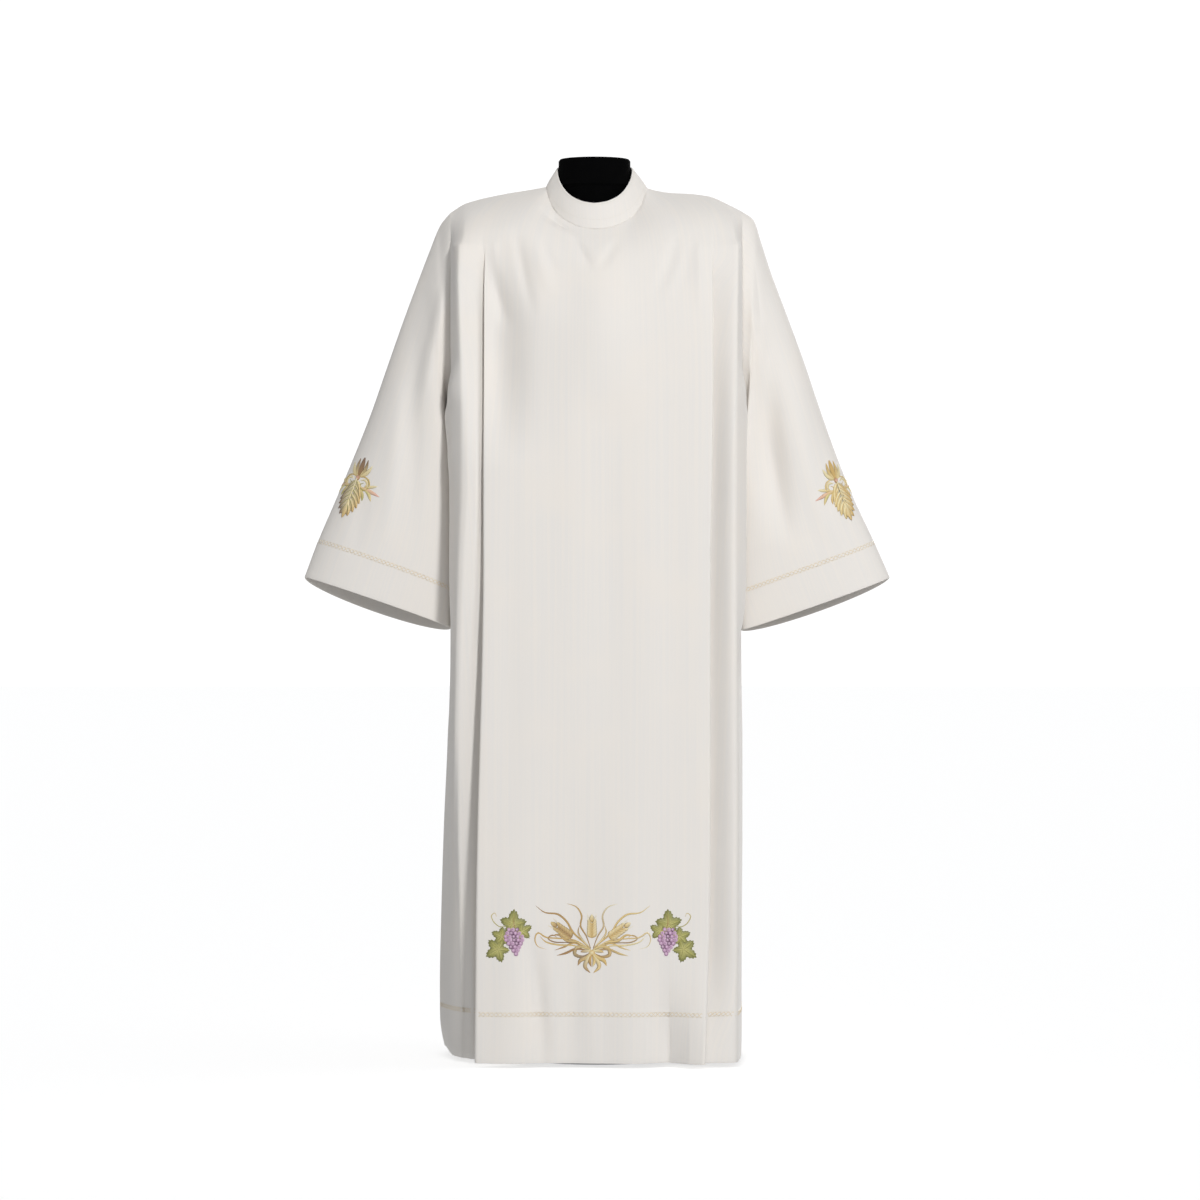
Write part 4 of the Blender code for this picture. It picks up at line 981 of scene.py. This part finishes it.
def jerseyMaterial(name):
    look, graph = jerseyLook, Graph(bpy.data.materials.new(name))
    place = graph.node("TexCoord", output=3)
    fine = graph.node("TexWave", {"bands_direction": "Z"}, Vector=place, Scale=look["ribs"], Distortion=2.0,
                      Detail=1.0)
    tone = graph.mix(graph.noise(place, look["mottle"], 3.0), look["dark"], look["light"])
    return graph.finish(Base_Color=tone, Roughness=look["roughness"], Specular_IOR_Level=look["specular"],
                        Normal=graph.bump(look["bump"], fine * look["depth"]))


metalLook = {
    "light": (0.33, 0.33, 0.34, 1.0),
    "dark": (0.27, 0.27, 0.28, 1.0),
    "grain": 320.0,
    "wear": 9.0,
    "depth": 0.0002,
    "roughness": 0.34,
    "wearRoughness": 0.2,
    "metallic": 0.9,
    "wearTone": (0.4, 0.7),
    "bump": 0.2,
}


def metalMaterial(name):
    look, graph = metalLook, Graph(bpy.data.materials.new(name))
    place = graph.node("TexCoord", output=3)
    grain, wear = graph.noise(place, look["grain"], 2.0), graph.noise(place, look["wear"], 4.0)
    tone = graph.mix(graph.ramp(wear, *look["wearTone"]), look["light"], look["dark"])
    return graph.finish(Base_Color=tone, Roughness=look["roughness"] + wear * look["wearRoughness"],
                        Metallic=look["metallic"], Normal=graph.bump(look["bump"], grain * look["depth"]))


ivory = clothMaterial("ivoryCloth")
thread = threadMaterial("embroideryThread")
print("materials made")

# the cloth pieces

front, back = bodyPanel("front"), bodyPanel("back")
cloths = {
    name: makeCloth("body", panel, np.array([0, way, 0]), sewn=("top", "left", "right"),
                    lifted=panel[-1, :, 2] - body["hemHeight"])
    for name, panel, way in (("body_front", front, -1), ("body_back", back, 1))
}
for side in (left, right):
    rings = sleeveRings(side, front, back)
    outward = rings - rings.mean(axis=1, keepdims=True)
    cloth = makeCloth("sleeve", rings, outward, closed=True, fromMiddle=False)
    span = np.linalg.norm(rings[:, 0] - rings[:, -1], axis=-1)
    cloth["u"] = np.concatenate([cloth["u"], (cloth["u"][:, -1] + span)[:, None]], axis=1)
    cloth["v"] = np.concatenate([cloth["v"], cloth["v"][:, :1]], axis=1)
    cloths["sleeve_" + sideNames[side].lower()] = cloth
rings = collarRings(front, back)
cloths["collar"] = makeCloth("collar", rings, rings * (1, 1, 0))
sewTogether(list(cloths.values()))

hemDepths = {"body_front": body["hemDepth"], "body_back": body["hemDepth"],
             "sleeve_left": sleeve["hemDepth"], "sleeve_right": sleeve["hemDepth"]}
for name, cloth in cloths.items():
    wall = collar["wall"] if name == "collar" else body["wall"]
    if name in hemDepths:
        above = cloth["v"][:, :cloth["points"].shape[1]] - hemDepths[name]
        wall = body["hemWall"] + (body["wall"] - body["hemWall"]) * smooth(above / body["hemEase"] + 0.5)
    cloth["half"] = wall / 2 * np.ones(cloth["points"].shape[:2])
    addPiece(name + "_cloth", clothMesh(name + "_cloth", cloth, wall), ivory, name)
print("cloth pieces made")


def onCloth(cloth, across, up):  # points of a cloth's outer face and their normals, by length across and up
    u, v = cloth["u"], cloth["v"]
    rows, columns = u.shape
    found = np.zeros((len(across), 2))
    for index, (a, b) in enumerate(zip(across, up)):
        row = rows / 2
        for _ in range(4):  # the row and the column found by turns
            low = min(int(row), rows - 2)
            line = u[low] + (u[low + 1] - u[low]) * (row - low)
            around = a % line[-1] if cloth["closed"] else a
            column = float(np.interp(around, line, np.arange(columns)))
            near = min(int(column), columns - 2)
            fall = v[:, near] + (v[:, near + 1] - v[:, near]) * (column - near)
            row = float(np.interp(-b, -fall, np.arange(rows)))
        found[index] = row, column
    low = np.minimum(found.astype(int), (rows - 2, columns - 2))
    part = found - low
    count = cloth["points"].shape[1]
    result = []
    for grid in (cloth["points"], cloth["normals"], cloth["half"][..., None]):
        corner = [grid[low[:, 0] + down, (low[:, 1] + over) % count] for down in (0, 1) for over in (0, 1)]
        upper = corner[0] * (1 - part[:, 1:]) + corner[1] * part[:, 1:]
        lower = corner[2] * (1 - part[:, 1:]) + corner[3] * part[:, 1:]
        result.append(upper * (1 - part[:, :1]) + lower * part[:, :1])
    points, normals, half = result
    normals = unit(normals)
    return points + normals * half, normals


# embroidery: strokes and patches drawn in millimetres, then laid on a cloth


def linear(red, green, blue):  # a screen colour as the shader's light values
    return tuple((value / 255) ** 2.2 for value in (red, green, blue))


silks = {
    "straw": linear(229, 206, 146),
    "gold": linear(212, 176, 106),
    "bronze": linear(170, 132, 84),
    "brown": linear(132, 106, 88),
    "cream": linear(240, 228, 186),
    "leaf": linear(164, 162, 86),
    "leafLight": linear(214, 206, 132),
    "leafDark": linear(112, 114, 56),
    "grape": linear(168, 124, 160),
    "grapeLight": linear(222, 190, 214),
    "grapeDark": linear(104, 62, 96),
    "rose": linear(232, 178, 164),
    "rail": linear(238, 227, 208),
    "rung": linear(228, 210, 178),
    "sewing": linear(228, 222, 210),
}
millimetre = 0.001
strokeForm = {
    "profile": ((-1, 0.0), (-0.55, 0.8), (0, 1.0), (0.55, 0.8), (1, 0.0), (0, -0.6)),
    "under": -0.3,
    "tipRun": 0.45,
    "tipHeight": 0.2,
    "flat": 0.3,
    # shade and light: one side of every stroke is painted darker and the other lighter, a painted shade and a
    # painted highlight
    "shade": 0.16,
    "light": 0.05,
    "patchCore": 0.02,
    "patchThreads": 0.0004,
    "runThreads": 0.0005,
    "runTop": 0.6,
    "knotCorners": 15,
}
strokeKinds = {  # height, the two tips' shares of the width, steps and lift
    "blade": (0.7, (0.35, 0.1), 22, 0.0),
    "ear": (0.5, (0.15, 0.15), 14, 0.0),
    "grain": (0.9, (0.25, 0.05), 8, 0.0),
    "lastGrain": (1.0, (0.3, 0.05), 8, 0.1),
    "awn": (0.3, (0.6, 0.2), 4, 0.0),
    "vein": (0.6, (0.5, 0.1), 8, 0.5),
    "veinLine": (0.4, (0.8, 0.2), 8, 1.1),
    "tendril": (0.5, (0.6, 0.3), 20, 0.0),
    "grapeStalk": (0.8, (0.8, 0.5), 8, 0.8),
    "petal": (0.9, (0.3, 0.15), 16, 0.0),
    "leaflet": (1.2, (0.3, 0.2), 12, 0.0),
    "leafletLine": (0.5, (0.4, 0.2), 10, 1.1),
    "endLeaf": (1.4, (0.3, 0.15), 10, 0.9),
    "stem": (0.8, (0.8, 0.2), 12, 1.6),
}


def spline(path, steps):  # a smooth curve through a few points
    path = np.array(path, float)
    padded = np.concatenate([[2 * path[0] - path[1]], path, [2 * path[-1] - path[-2]]])
    line = []
    spans = len(path) - 1
    each = max(2, round(steps / spans))
    for span in range(spans):
        before, first, second, after = padded[span:span + 4]
        for step in range(each):
            part = step / each
            line.append(0.5 * (2 * first + (second - before) * part
                               + (2 * before - 5 * first + 4 * second - after) * part ** 2
                               + (3 * first - before - 3 * second + after) * part ** 3))
    line.append(path[-1])
    return np.array(line)


def oval(centre, across, up, count):
    turns = np.linspace(0, 2 * np.pi, count + 1)[:-1]
    return [(centre[0] + across * math.cos(turn), centre[1] + up * math.sin(turn)) for turn in turns]


class Stitching:
    def __init__(self):
        self.points, self.faces, self.colours, self.threads = [], [], [], []

    def tube(self, start, rings, count):  # the walls and the two ends between rings of the same count
        for row in range(rings - 1):
            for step in range(count):
                after = (step + 1) % count
                base = start + row * count
                self.faces.append((base + step, base + after, base + count + after, base + count + step))
        last = start + (rings - 1) * count
        self.faces += [tuple(range(start, start + count))[::-1], tuple(range(last, last + count))]

    def rings(self, rings, colours, along):
        start, count = len(self.points), len(rings[0])
        for ring, tones, length in zip(rings, colours, along):
            self.points += ring
            self.colours += tones
            self.threads += [(length, index / count) for index in range(count)]
        self.tube(start, len(rings), count)

    def stroke(self, kind, path, width, colours, over=0.0):
        height, tips, steps, lift = strokeKinds[kind]
        lift += over
        form, run = strokeForm, strokeForm["tipRun"]
        line = spline(path, steps)
        ahead = np.gradient(line, axis=0)
        length = np.concatenate([[0], np.cumsum(np.linalg.norm(np.diff(line, axis=0), axis=1))])
        square = unit(np.stack([-ahead[:, 1], ahead[:, 0]], axis=1))
        first, last = (np.array(silks[colour]) for colour in colours)
        rings, tones = [], []
        for index, (point, out) in enumerate(zip(line, square)):
            share = index / (len(line) - 1)
            swell = tips[0] + (1 - tips[0]) * math.sin(math.pi / 2 * min(1.0, share / run))
            if share > 1 - run:
                swell = tips[1] + (1 - tips[1]) * math.sin(math.pi / 2 * (1 - share) / run)
            half = width / 2 * swell
            middle = first + (last - first) * share
            ring, tone = [], []
            for offset, rise in form["profile"]:
                place = point + out * half * offset
                rise = height * rise * min(1.0, swell + form["tipHeight"]) if rise >= 0 else form["under"]
                # painted shade on one side of the stroke and a painted highlight on the other
                shade = 1 - form["shade"] * (offset < -form["flat"]) + form["light"] * (offset > form["flat"])
                ring.append((place[0], place[1], lift + rise))
                tone.append((*(middle * shade), 1.0))
            rings.append(ring)
            tones.append(tone)
        self.rings(rings, tones, list(length / 1000))

    def patch(self, centre, outline, colours, height, rows=4, lift=0.0):  # a raised patch inside an outline
        form, centre = strokeForm, np.array(centre, float)
        inner, outer = (np.array(silks[colour]) for colour in colours)
        rings, tones = [], []
        for row in range(rows + 1):
            share = 1 - row / rows
            size = max(share, form["patchCore"])
            rise = lift + height * math.sqrt(max(0.0, 1 - share ** 2))
            rings.append([(*(centre + (np.array(point) - centre) * size), rise) for point in outline])
            tones.append([(*(inner + (outer - inner) * share), 1.0)] * len(outline))
        under = [(x, y, form["under"]) for x, y, _ in rings[0]]
        self.rings([under, *rings], [tones[0], *tones],
                   [0.0, *[form["patchThreads"] * row for row in range(rows + 1)]])

    def knot(self, place, across, up, height, lift, *colours):  # a small raised oval
        self.patch(place, oval(place, across, up, strokeForm["knotCorners"]), colours, height, lift=lift)

    def run(self, points, normals, width, rise, silk):  # a flat thread along a line of points on a cloth
        aside = unit(np.cross(unit(np.gradient(points, axis=0)), normals)) * width / 2
        start, count = len(self.points), 4 * len(points)
        top = strokeForm["runTop"]
        for place, out, up in zip(points, aside, normals * rise):
            self.points += [place - out - up, place - out * top + up,
                            place + out * top + up, place + out - up]
        self.colours += [(*silks[silk], 1.0)] * count
        self.threads += [(strokeForm["runThreads"] * index, 0.0) for index in range(count)]
        self.tube(start, len(points), 4)

    def lay(self, name, cloth, across, up):
        points = np.array(self.points) * millimetre
        outer, normals = onCloth(cloth, points[:, 0] + across, points[:, 1] + up)
        return self.mesh(name, outer + normals * points[:, 2:])

    def mesh(self, name, points):
        data = bpy.data.meshes.new(name)
        data.from_pydata([tuple(point) for point in points], [], self.faces)
        layer = data.attributes.new("thread", "FLOAT_COLOR", "POINT")
        layer.data.foreach_set("color", np.array(self.colours, dtype=np.float32).ravel())
        uvMap = data.uv_layers.new(name="stitch")
        corners = np.zeros(len(data.loops), dtype=np.int32)
        data.loops.foreach_get("vertex_index", corners)
        uvMap.data.foreach_set("uv", np.array(self.threads, dtype=np.float32)[corners].ravel())
        mesh = bmesh.new()
        mesh.from_mesh(data)
        bmesh.ops.recalc_face_normals(mesh, faces=mesh.faces)
        for face in mesh.faces:
            face.smooth = True
        mesh.to_mesh(data)
        mesh.free()
        return data


wheat = {
    "place": (-0.0076, 0.1905),
    "ears": [((0, 19), 0, 34, "gold", "cream"), ((27, 20), 55, 40, "gold", "cream"),
             ((-32, 20), -54, 40, "bronze", "straw")],
    "stalkWidth": 1.2,
    "grains": 6,
    "grainsFrom": 0.08,
    "grainsRun": 0.74,
    "grainLength": 13.5,
    "grainRise": 0.82,
    "grainWidth": 8.4,
    "grainShrink": 0.05,
    "grainSpread": 5.0,
    "grainBow": 2.2,
    "grainLift": 0.02,
    "awnLength": 9.0,
    "awnSpread": 2.6,
    "awnBow": 0.3,
    "awnWidth": 0.7,
    "lastGrainFrom": 0.86,
    "lastGrain": (0, 6, 13),
    "knot": ((0, -4), 5.5, 4.2, 1.4, 0.0, "cream", "gold"),
    "leftStretch": 0.97,
}
# half of the bundle to the right of its knot: the points of each blade, its width and its two silks
bladePaths = [
    ([(2, 3), (10, 24), (20, 41), (18, 58), (27, 73), (44, 79)], 3.0, "bronze", "cream"),
    ([(3, 3), (15, 14), (33, 30), (44, 48), (60, 61), (82, 64), (99, 76)], 3.6, "gold", "straw"),
    ([(6, 4), (30, 17), (56, 20), (80, 22), (94, 30), (100, 20), (95, 7), (80, 2)], 2.6, "gold", "cream"),
    ([(8, 2), (34, 8), (58, 9), (80, 14), (91, 24)], 3.0, "straw", "cream"),
    ([(8, 0), (28, 2), (46, -5), (62, -9)], 4.2, "bronze", "straw"),
    ([(6, 4), (26, 14), (44, 16), (58, 26), (72, 24)], 4.4, "straw", "gold"),
    ([(4, 6), (16, 17), (24, 30), (22, 42)], 3.2, "cream", "gold"),
    ([(26, 12), (46, 13), (66, 14), (77, 20), (69, 26), (60, 21)], 2.2, "brown", "gold"),
    ([(10, 4), (32, 12), (50, 5), (66, 0)], 3.0, "gold", "straw"),
    ([(1, 0), (13, 6), (27, 4), (30, -7), (17, -11), (2, -4)], 6.4, "straw", "bronze"),
    ([(2, -1), (12, -1), (20, -3)], 6.0, "cream", "gold"),
    ([(1, -4), (10, -12), (20, -17), (25, -26)], 7.4, "straw", "gold"),
    ([(1, -5), (9, -17), (12, -28), (3, -38)], 7.4, "cream", "gold"),
    ([(1, -6), (4, -17), (1, -28)], 6.0, "gold", "straw"),
]


def wheatEar(stitching, base, angle, length, dark, light):
    lean = math.radians(angle)
    axis = np.array([math.sin(lean), math.cos(lean)])
    aside = np.array([axis[1], -axis[0]])
    base, silk = np.array(base, float), (dark, light)
    stalk = [base, base + axis * length * 0.5, base + axis * length]
    stitching.stroke("ear", stalk, wheat["stalkWidth"], silk)
    for step in range(wheat["grains"]):
        root = base + axis * length * (wheat["grainsFrom"] + wheat["grainsRun"] * step / wheat["grains"])
        width = wheat["grainWidth"] * (1 - wheat["grainShrink"] * step)
        for way in (-1, 1):
            tip = root + axis * wheat["grainLength"] * wheat["grainRise"] + aside * way * wheat["grainSpread"]
            middle = (root + tip) / 2 + aside * way * wheat["grainBow"]
            stitching.stroke("grain", [root, middle, tip], width, silk, wheat["grainLift"] * step)
            end = tip + axis * wheat["awnLength"] + aside * way * wheat["awnSpread"]
            awn = [tip, (tip + end) / 2 + aside * way * wheat["awnBow"], end]
            stitching.stroke("awn", awn, wheat["awnWidth"], (light, light))
    top = base + axis * length * wheat["lastGrainFrom"]
    path = [top + axis * reach for reach in wheat["lastGrain"]]
    stitching.stroke("lastGrain", path, wheat["grainWidth"], silk)


def wheatBundle():  # the left half is narrower and darker
    stitching = Stitching()
    darker = {"cream": "gold", "straw": "bronze", "gold": "bronze", "bronze": "brown"}
    for way, stretch in ((1, 1.0), (-1, wheat["leftStretch"])):
        for path, width, first, last in bladePaths:
            silk = (first, last if way > 0 else darker[last])
            stitching.stroke("blade", [(way * x * stretch, y) for x, y in path], width, silk)
    for ear in wheat["ears"]:
        wheatEar(stitching, *ear)
    stitching.knot(*wheat["knot"])
    return stitching


grapes = {
    "radius": 3.7,
    "corners": 12,
    "height": 1.5,
    "rings": 3,
    "lift": 0.9,
    # shineShift: how far the painted highlight of each berry lies up and to the left
    "shineShift": 0.9,
    "rows": (3, 4, 5, 5, 4, 3, 2, 1),
    "spacing": 6.8,
    "rowShare": 0.86,
    "slant": 0.6,
    "top": 21.0,
    "silks": ("grape", "grapeLight", "grapeDark"),
    "places": {1: (-0.1416, 0.2047), -1: (0.1231, 0.2047)},
}
vine = {
    "lobes": 5,
    "notch": 0.44,
    "notchPower": 1.2,
    "teeth": 6,
    "tooth": 0.09,
    "breadth": (0.88, 0.16),
    "height": 0.9,
    "rings": 5,
    "veinReach": (0.94, 0.78),
    "veinBow": 0.8,
    "veinWidths": (6.5, 1.7),
    # place, size and turn of the leaves round a cluster, for the outer side to the left
    "leaves": [((0, 29), 25.0, 4), ((-25, -12), 24.0, -120), ((-19, 9), 18.0, -66), ((15, 18), 18.0, 60)],
    "tendril": [(-8, 27), (-22, 26), (-32, 33), (-37, 44), (-31, 49), (-28, 43)],
    "tendrilWidth": 1.7,
    "stalk": [(3, 24), (1, 38), (6, 50)],
    "stalkWidth": 2.4,
}


def vineLeaf(stitching, centre, size, angle):
    swing = math.radians(angle)
    count = vine["lobes"] * vine["teeth"] * 4
    least, more = vine["breadth"]
    outline = []
    for step in range(count):
        turn = 2 * math.pi * step / count
        beat = step * vine["lobes"] / count
        lobe = 1 - vine["notch"] * (2 * abs(beat - round(beat))) ** vine["notchPower"]
        tooth = vine["tooth"] * (abs((step / 4) % 1 - 0.5) * 2 - 0.5)
        reach = size * (lobe + tooth) * (least + more * math.cos(turn))
        turn += swing
        outline.append((centre[0] + reach * math.sin(turn), centre[1] + reach * math.cos(turn)))
    stitching.patch(centre, outline, ("leafLight", "leafDark"), vine["height"], vine["rings"])
    for spread in range(-2, 3):
        way = swing + spread * 2 * math.pi / vine["lobes"]
        reach = size * vine["veinReach"][spread != 0]
        tip = (centre[0] + reach * math.sin(way), centre[1] + reach * math.cos(way))
        vein = [centre, ((centre[0] + tip[0]) / 2 + vine["veinBow"], (centre[1] + tip[1]) / 2), tip]
        broad, fine = vine["veinWidths"]
        stitching.stroke("vein", vein, broad, ("leaf", "leaf"))
        stitching.stroke("veinLine", vein, fine, ("leafLight", "leaf"))


def grapeCluster(way):  # way turns the lower leaf to the outer side
    stitching = Stitching()
    for (x, y), size, angle in vine["leaves"]:
        vineLeaf(stitching, (way * x, y), size, way * angle)
    tendril, stalk = ([(way * x, y) for x, y in vine[key]] for key in ("tendril", "stalk"))
    stitching.stroke("tendril", tendril, vine["tendrilWidth"], ("leaf", "straw"))
    stitching.stroke("grapeStalk", stalk, vine["stalkWidth"], ("bronze", "leaf"))
    y, count = grapes["top"], 0
    for row, amount in enumerate(grapes["rows"]):
        for step in range(amount):
            x = (step - (amount - 1) / 2) * grapes["spacing"] + way * grapes["slant"] * row
            outer = grapes["silks"][(count * 7 + row) % 3]
            inner = "grape" if outer == "grapeLight" else "grapeLight"
            ring = oval((x, y), grapes["radius"], grapes["radius"], grapes["corners"])
            # each berry is mostly lighter round a point shifted up and to the left: a painted highlight
            shine = (x - grapes["shineShift"], y + grapes["shineShift"])
            stitching.patch(shine, ring, (inner, outer), grapes["height"], grapes["rings"], grapes["lift"])
            count += 1
        y -= grapes["spacing"] * grapes["rowShare"]
    return stitching


sprig = {
    "place": (0.041, 0.190),
    "leafReach": (15, 20, 22, 20, 16, 9),
    "leafStart": -4,
    "leafStep": 8.5,
    "leafRoot": 0.5,
    "leafBend": (0.55, 9),
    "leafFall": 21,
    "leafLift": 0.12,
    "leafBreadth": 11.0,
    "lineWidth": 1.7,
    "ends": [("endLeaf", [(0, -40), (0, -56), (0, -73)], 12.0, ("cream", "gold")),
             ("stem", [(0, 0), (0, -30), (0, -60)], 3.0, ("cream", "straw"))],
    "knot": ((0, 1), 4.6, 5.0, 1.6, 0.4, "rose", "bronze"),
}
# half of the sprig: the points of each stroke, its width and its silks; the other half is its mirror
sprigPaths = [
    ([(1, 4), (2, 20), (1, 38)], 8.0, "bronze", "brown"),
    ([(3, 4), (10, 18), (10, 35)], 8.0, "straw", "brown"),
    ([(5, 4), (16, 13), (23, 27)], 8.5, "straw", "cream"),
    ([(3, 2), (13, 5), (24, 2), (29, -8), (24, -17), (14, -16), (11, -9), (17, -5)], 3.6, "gold", "leaf"),
    ([(9, -2), (18, 0), (24, -6), (20, -13)], 5.0, "cream", "straw"),
    ([(12, -14), (32, -16), (56, -20)], 7.0, "straw", "rose"),
    ([(22, -12), (35, -8), (46, -4)], 5.4, "straw", "cream"),
    ([(22, -15), (34, -22), (42, -32)], 6.4, "leafLight", "straw"),
    ([(14, -16), (22, -26), (25, -36)], 6.0, "straw", "leaf"),
]
paler = {"brown": "gold", "bronze": "gold", "gold": "straw", "leaf": "gold"}


def sleeveSprig(side):  # the one on the right sleeve is stitched in paler silks
    stitching = Stitching()

    def silk(name):
        return paler.get(name, name) if side == right else name

    for way in (-1, 1):
        for path, width, first, last in sprigPaths:
            stitching.stroke("petal", [(way * x, y) for x, y in path], width, (silk(first), silk(last)))
    bend, bendFall = sprig["leafBend"]
    for step, wide in enumerate(sprig["leafReach"]):
        root, lift = sprig["leafStart"] - sprig["leafStep"] * step, sprig["leafLift"] * step
        for way in (-1, 1):
            path = [(way * sprig["leafRoot"], root), (way * wide * bend, root - bendFall),
                    (way * wide, root - sprig["leafFall"])]
            tip = silk("gold") if way > 0 else silk("brown")
            stitching.stroke("leaflet", path, sprig["leafBreadth"], ("cream", tip), lift)
            stitching.stroke("leafletLine", path, sprig["lineWidth"], (silk("leaf"), silk("brown")), lift)
    for stroke in sprig["ends"]:
        stitching.stroke(*stroke)
    stitching.knot(*sprig["knot"])
    return stitching


def joinData(name, parts):  # several meshes as one
    mesh = bmesh.new()
    for part in parts:
        mesh.from_mesh(part)
        bpy.data.meshes.remove(part)
    data = bpy.data.meshes.new(name)
    mesh.to_mesh(data)
    mesh.free()
    return data


def addEmbroidery():
    panel = cloths["body_front"]
    parts = [wheatBundle().lay("wheat", panel, *wheat["place"])]
    parts += [grapeCluster(way).lay("grapes", panel, *place) for way, place in grapes["places"].items()]
    addPiece("embroidery_front", joinData("embroidery_front", parts), thread)
    for side in (left, right):
        name = "sleeve_" + sideNames[side].lower()
        data = sleeveSprig(side).lay("embroidery_" + name, cloths[name], *sprig["place"])
        addPiece("embroidery_" + name, data, thread)


addEmbroidery()
print("embroidery made")

# the hems' ladder stitch

ladder = {"step": 0.0074, "height": 0.0070, "inset": 0.002, "rail": 0.0007, "rung": 0.0011, "rise": 0.00030,
          "rungRise": 0.9}


def addLadder(name, cloth, up):
    stitching = Stitching()
    row = int(np.argmin(np.abs(cloth["v"][:, cloth["v"].shape[1] // 2] - up)))
    low, high = cloth["u"][row, 0], cloth["u"][row, -1]
    count = int((high - low) / ladder["step"])
    if cloth["closed"]:
        places = low + (high - low) * np.arange(count + 1) / count
        places[-1] = low + 1e-6
    else:
        places = np.linspace(low + ladder["inset"], high - ladder["inset"], count)
    rails = []
    for offset in (0.5, -0.5):
        rails.append(onCloth(cloth, places, np.full(len(places), up + offset * ladder["height"])))
        stitching.run(*rails[-1], ladder["rail"], ladder["rise"], "rail")
    for index in range(len(places) - 1):
        for first, last in (rails, rails[::-1]):
            points, normals = (np.array([first[key][index], last[key][index + 1]]) for key in (0, 1))
            stitching.run(points, normals, ladder["rung"], ladder["rise"] * ladder["rungRise"], "rung")
    addPiece(name, stitching.mesh(name, stitching.points), thread)


for name, depth in hemDepths.items():
    addLadder("ladder_" + name, cloths[name], depth)
print("hem stitches made")

# the placket at the centre back

placket = {"halfWidth": 0.013, "start": 0.004, "length": 0.385, "wall": 0.0010, "gap": 0.0002, "rows": 90,
           "columns": 9}


def addPlacket():
    panel = cloths["body_back"]
    top = panel["v"][0, panel["v"].shape[1] // 2]
    ups = np.linspace(top - placket["start"], top - placket["length"], placket["rows"])
    across = np.linspace(-placket["halfWidth"], placket["halfWidth"], placket["columns"])
    points, normals = (np.array(grid) for grid in zip(*[onCloth(panel, across, np.full(len(across), up))
                                                        for up in ups]))
    points = points + normals * (placket["gap"] + placket["wall"] / 2)
    cloth = makeCloth("placket", points, np.array([0, 1, 0]), sewn=())
    cloth["half"] = np.full(points.shape[:2], placket["wall"] / 2)
    cloths["placket_back"] = cloth
    data = clothMesh("placket_back_cloth", cloth, placket["wall"])
    addPiece("placket_back_cloth", data, ivory, "placket_back")


addPlacket()
print("placket made")

# the sewing's single stitches

sewing = {"length": 0.0024, "gap": 0.0010, "width": 0.0005, "rise": 0.0002, "inset": 0.002, "margin": 0.004,
          "lines": (0.002, 0.006), "collarInset": 0.003}


def stitchRow(stitching, cloth, a0, b0, a1, b1):  # single stitches along a line between two places on a cloth
    length = math.hypot(a1 - a0, b1 - b0)
    count = int(length / (sewing["length"] + sewing["gap"]))
    starts = np.arange(count) / count
    size = sewing["length"] / length
    shares = np.stack([starts, starts + size / 2, starts + size], axis=1).ravel()
    points, normals = onCloth(cloth, a0 + (a1 - a0) * shares, b0 + (b1 - b0) * shares)
    for index in range(count):
        part = slice(3 * index, 3 * index + 3)
        stitching.run(points[part], normals[part], sewing["width"], sewing["rise"], "sewing")


def addSewing():
    strip, band, stitching = cloths["placket_back"], cloths["collar"], Stitching()
    inset = placket["halfWidth"] - sewing["inset"]
    top = strip["v"][0, strip["v"].shape[1] // 2] - sewing["margin"]
    low, high = sewing["lines"]
    for across in (-inset, inset):
        stitchRow(stitching, strip, across, top, across, low)
    for up in (low, high):
        stitchRow(stitching, strip, -inset, up, inset, up)
    half = band["u"][0, -1] - sewing["margin"]
    for up in (sewing["collarInset"], float(band["v"][0].min()) - sewing["collarInset"]):
        stitchRow(stitching, band, -half, up, half, up)
    addPiece("sewing_stitches", stitching.mesh("sewing_stitches", stitching.points), thread)


addSewing()
print("sewing made")

# the dress form keeps the frame's own solids

jersey, steel = jerseyMaterial("blackJersey"), metalMaterial("brushedSteel")
for name, material in (("form_torso", jersey), ("form_pole", steel), ("form_base", steel)):
    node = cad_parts[name]
    node.data.materials.clear()
    node.data.materials.append(material)
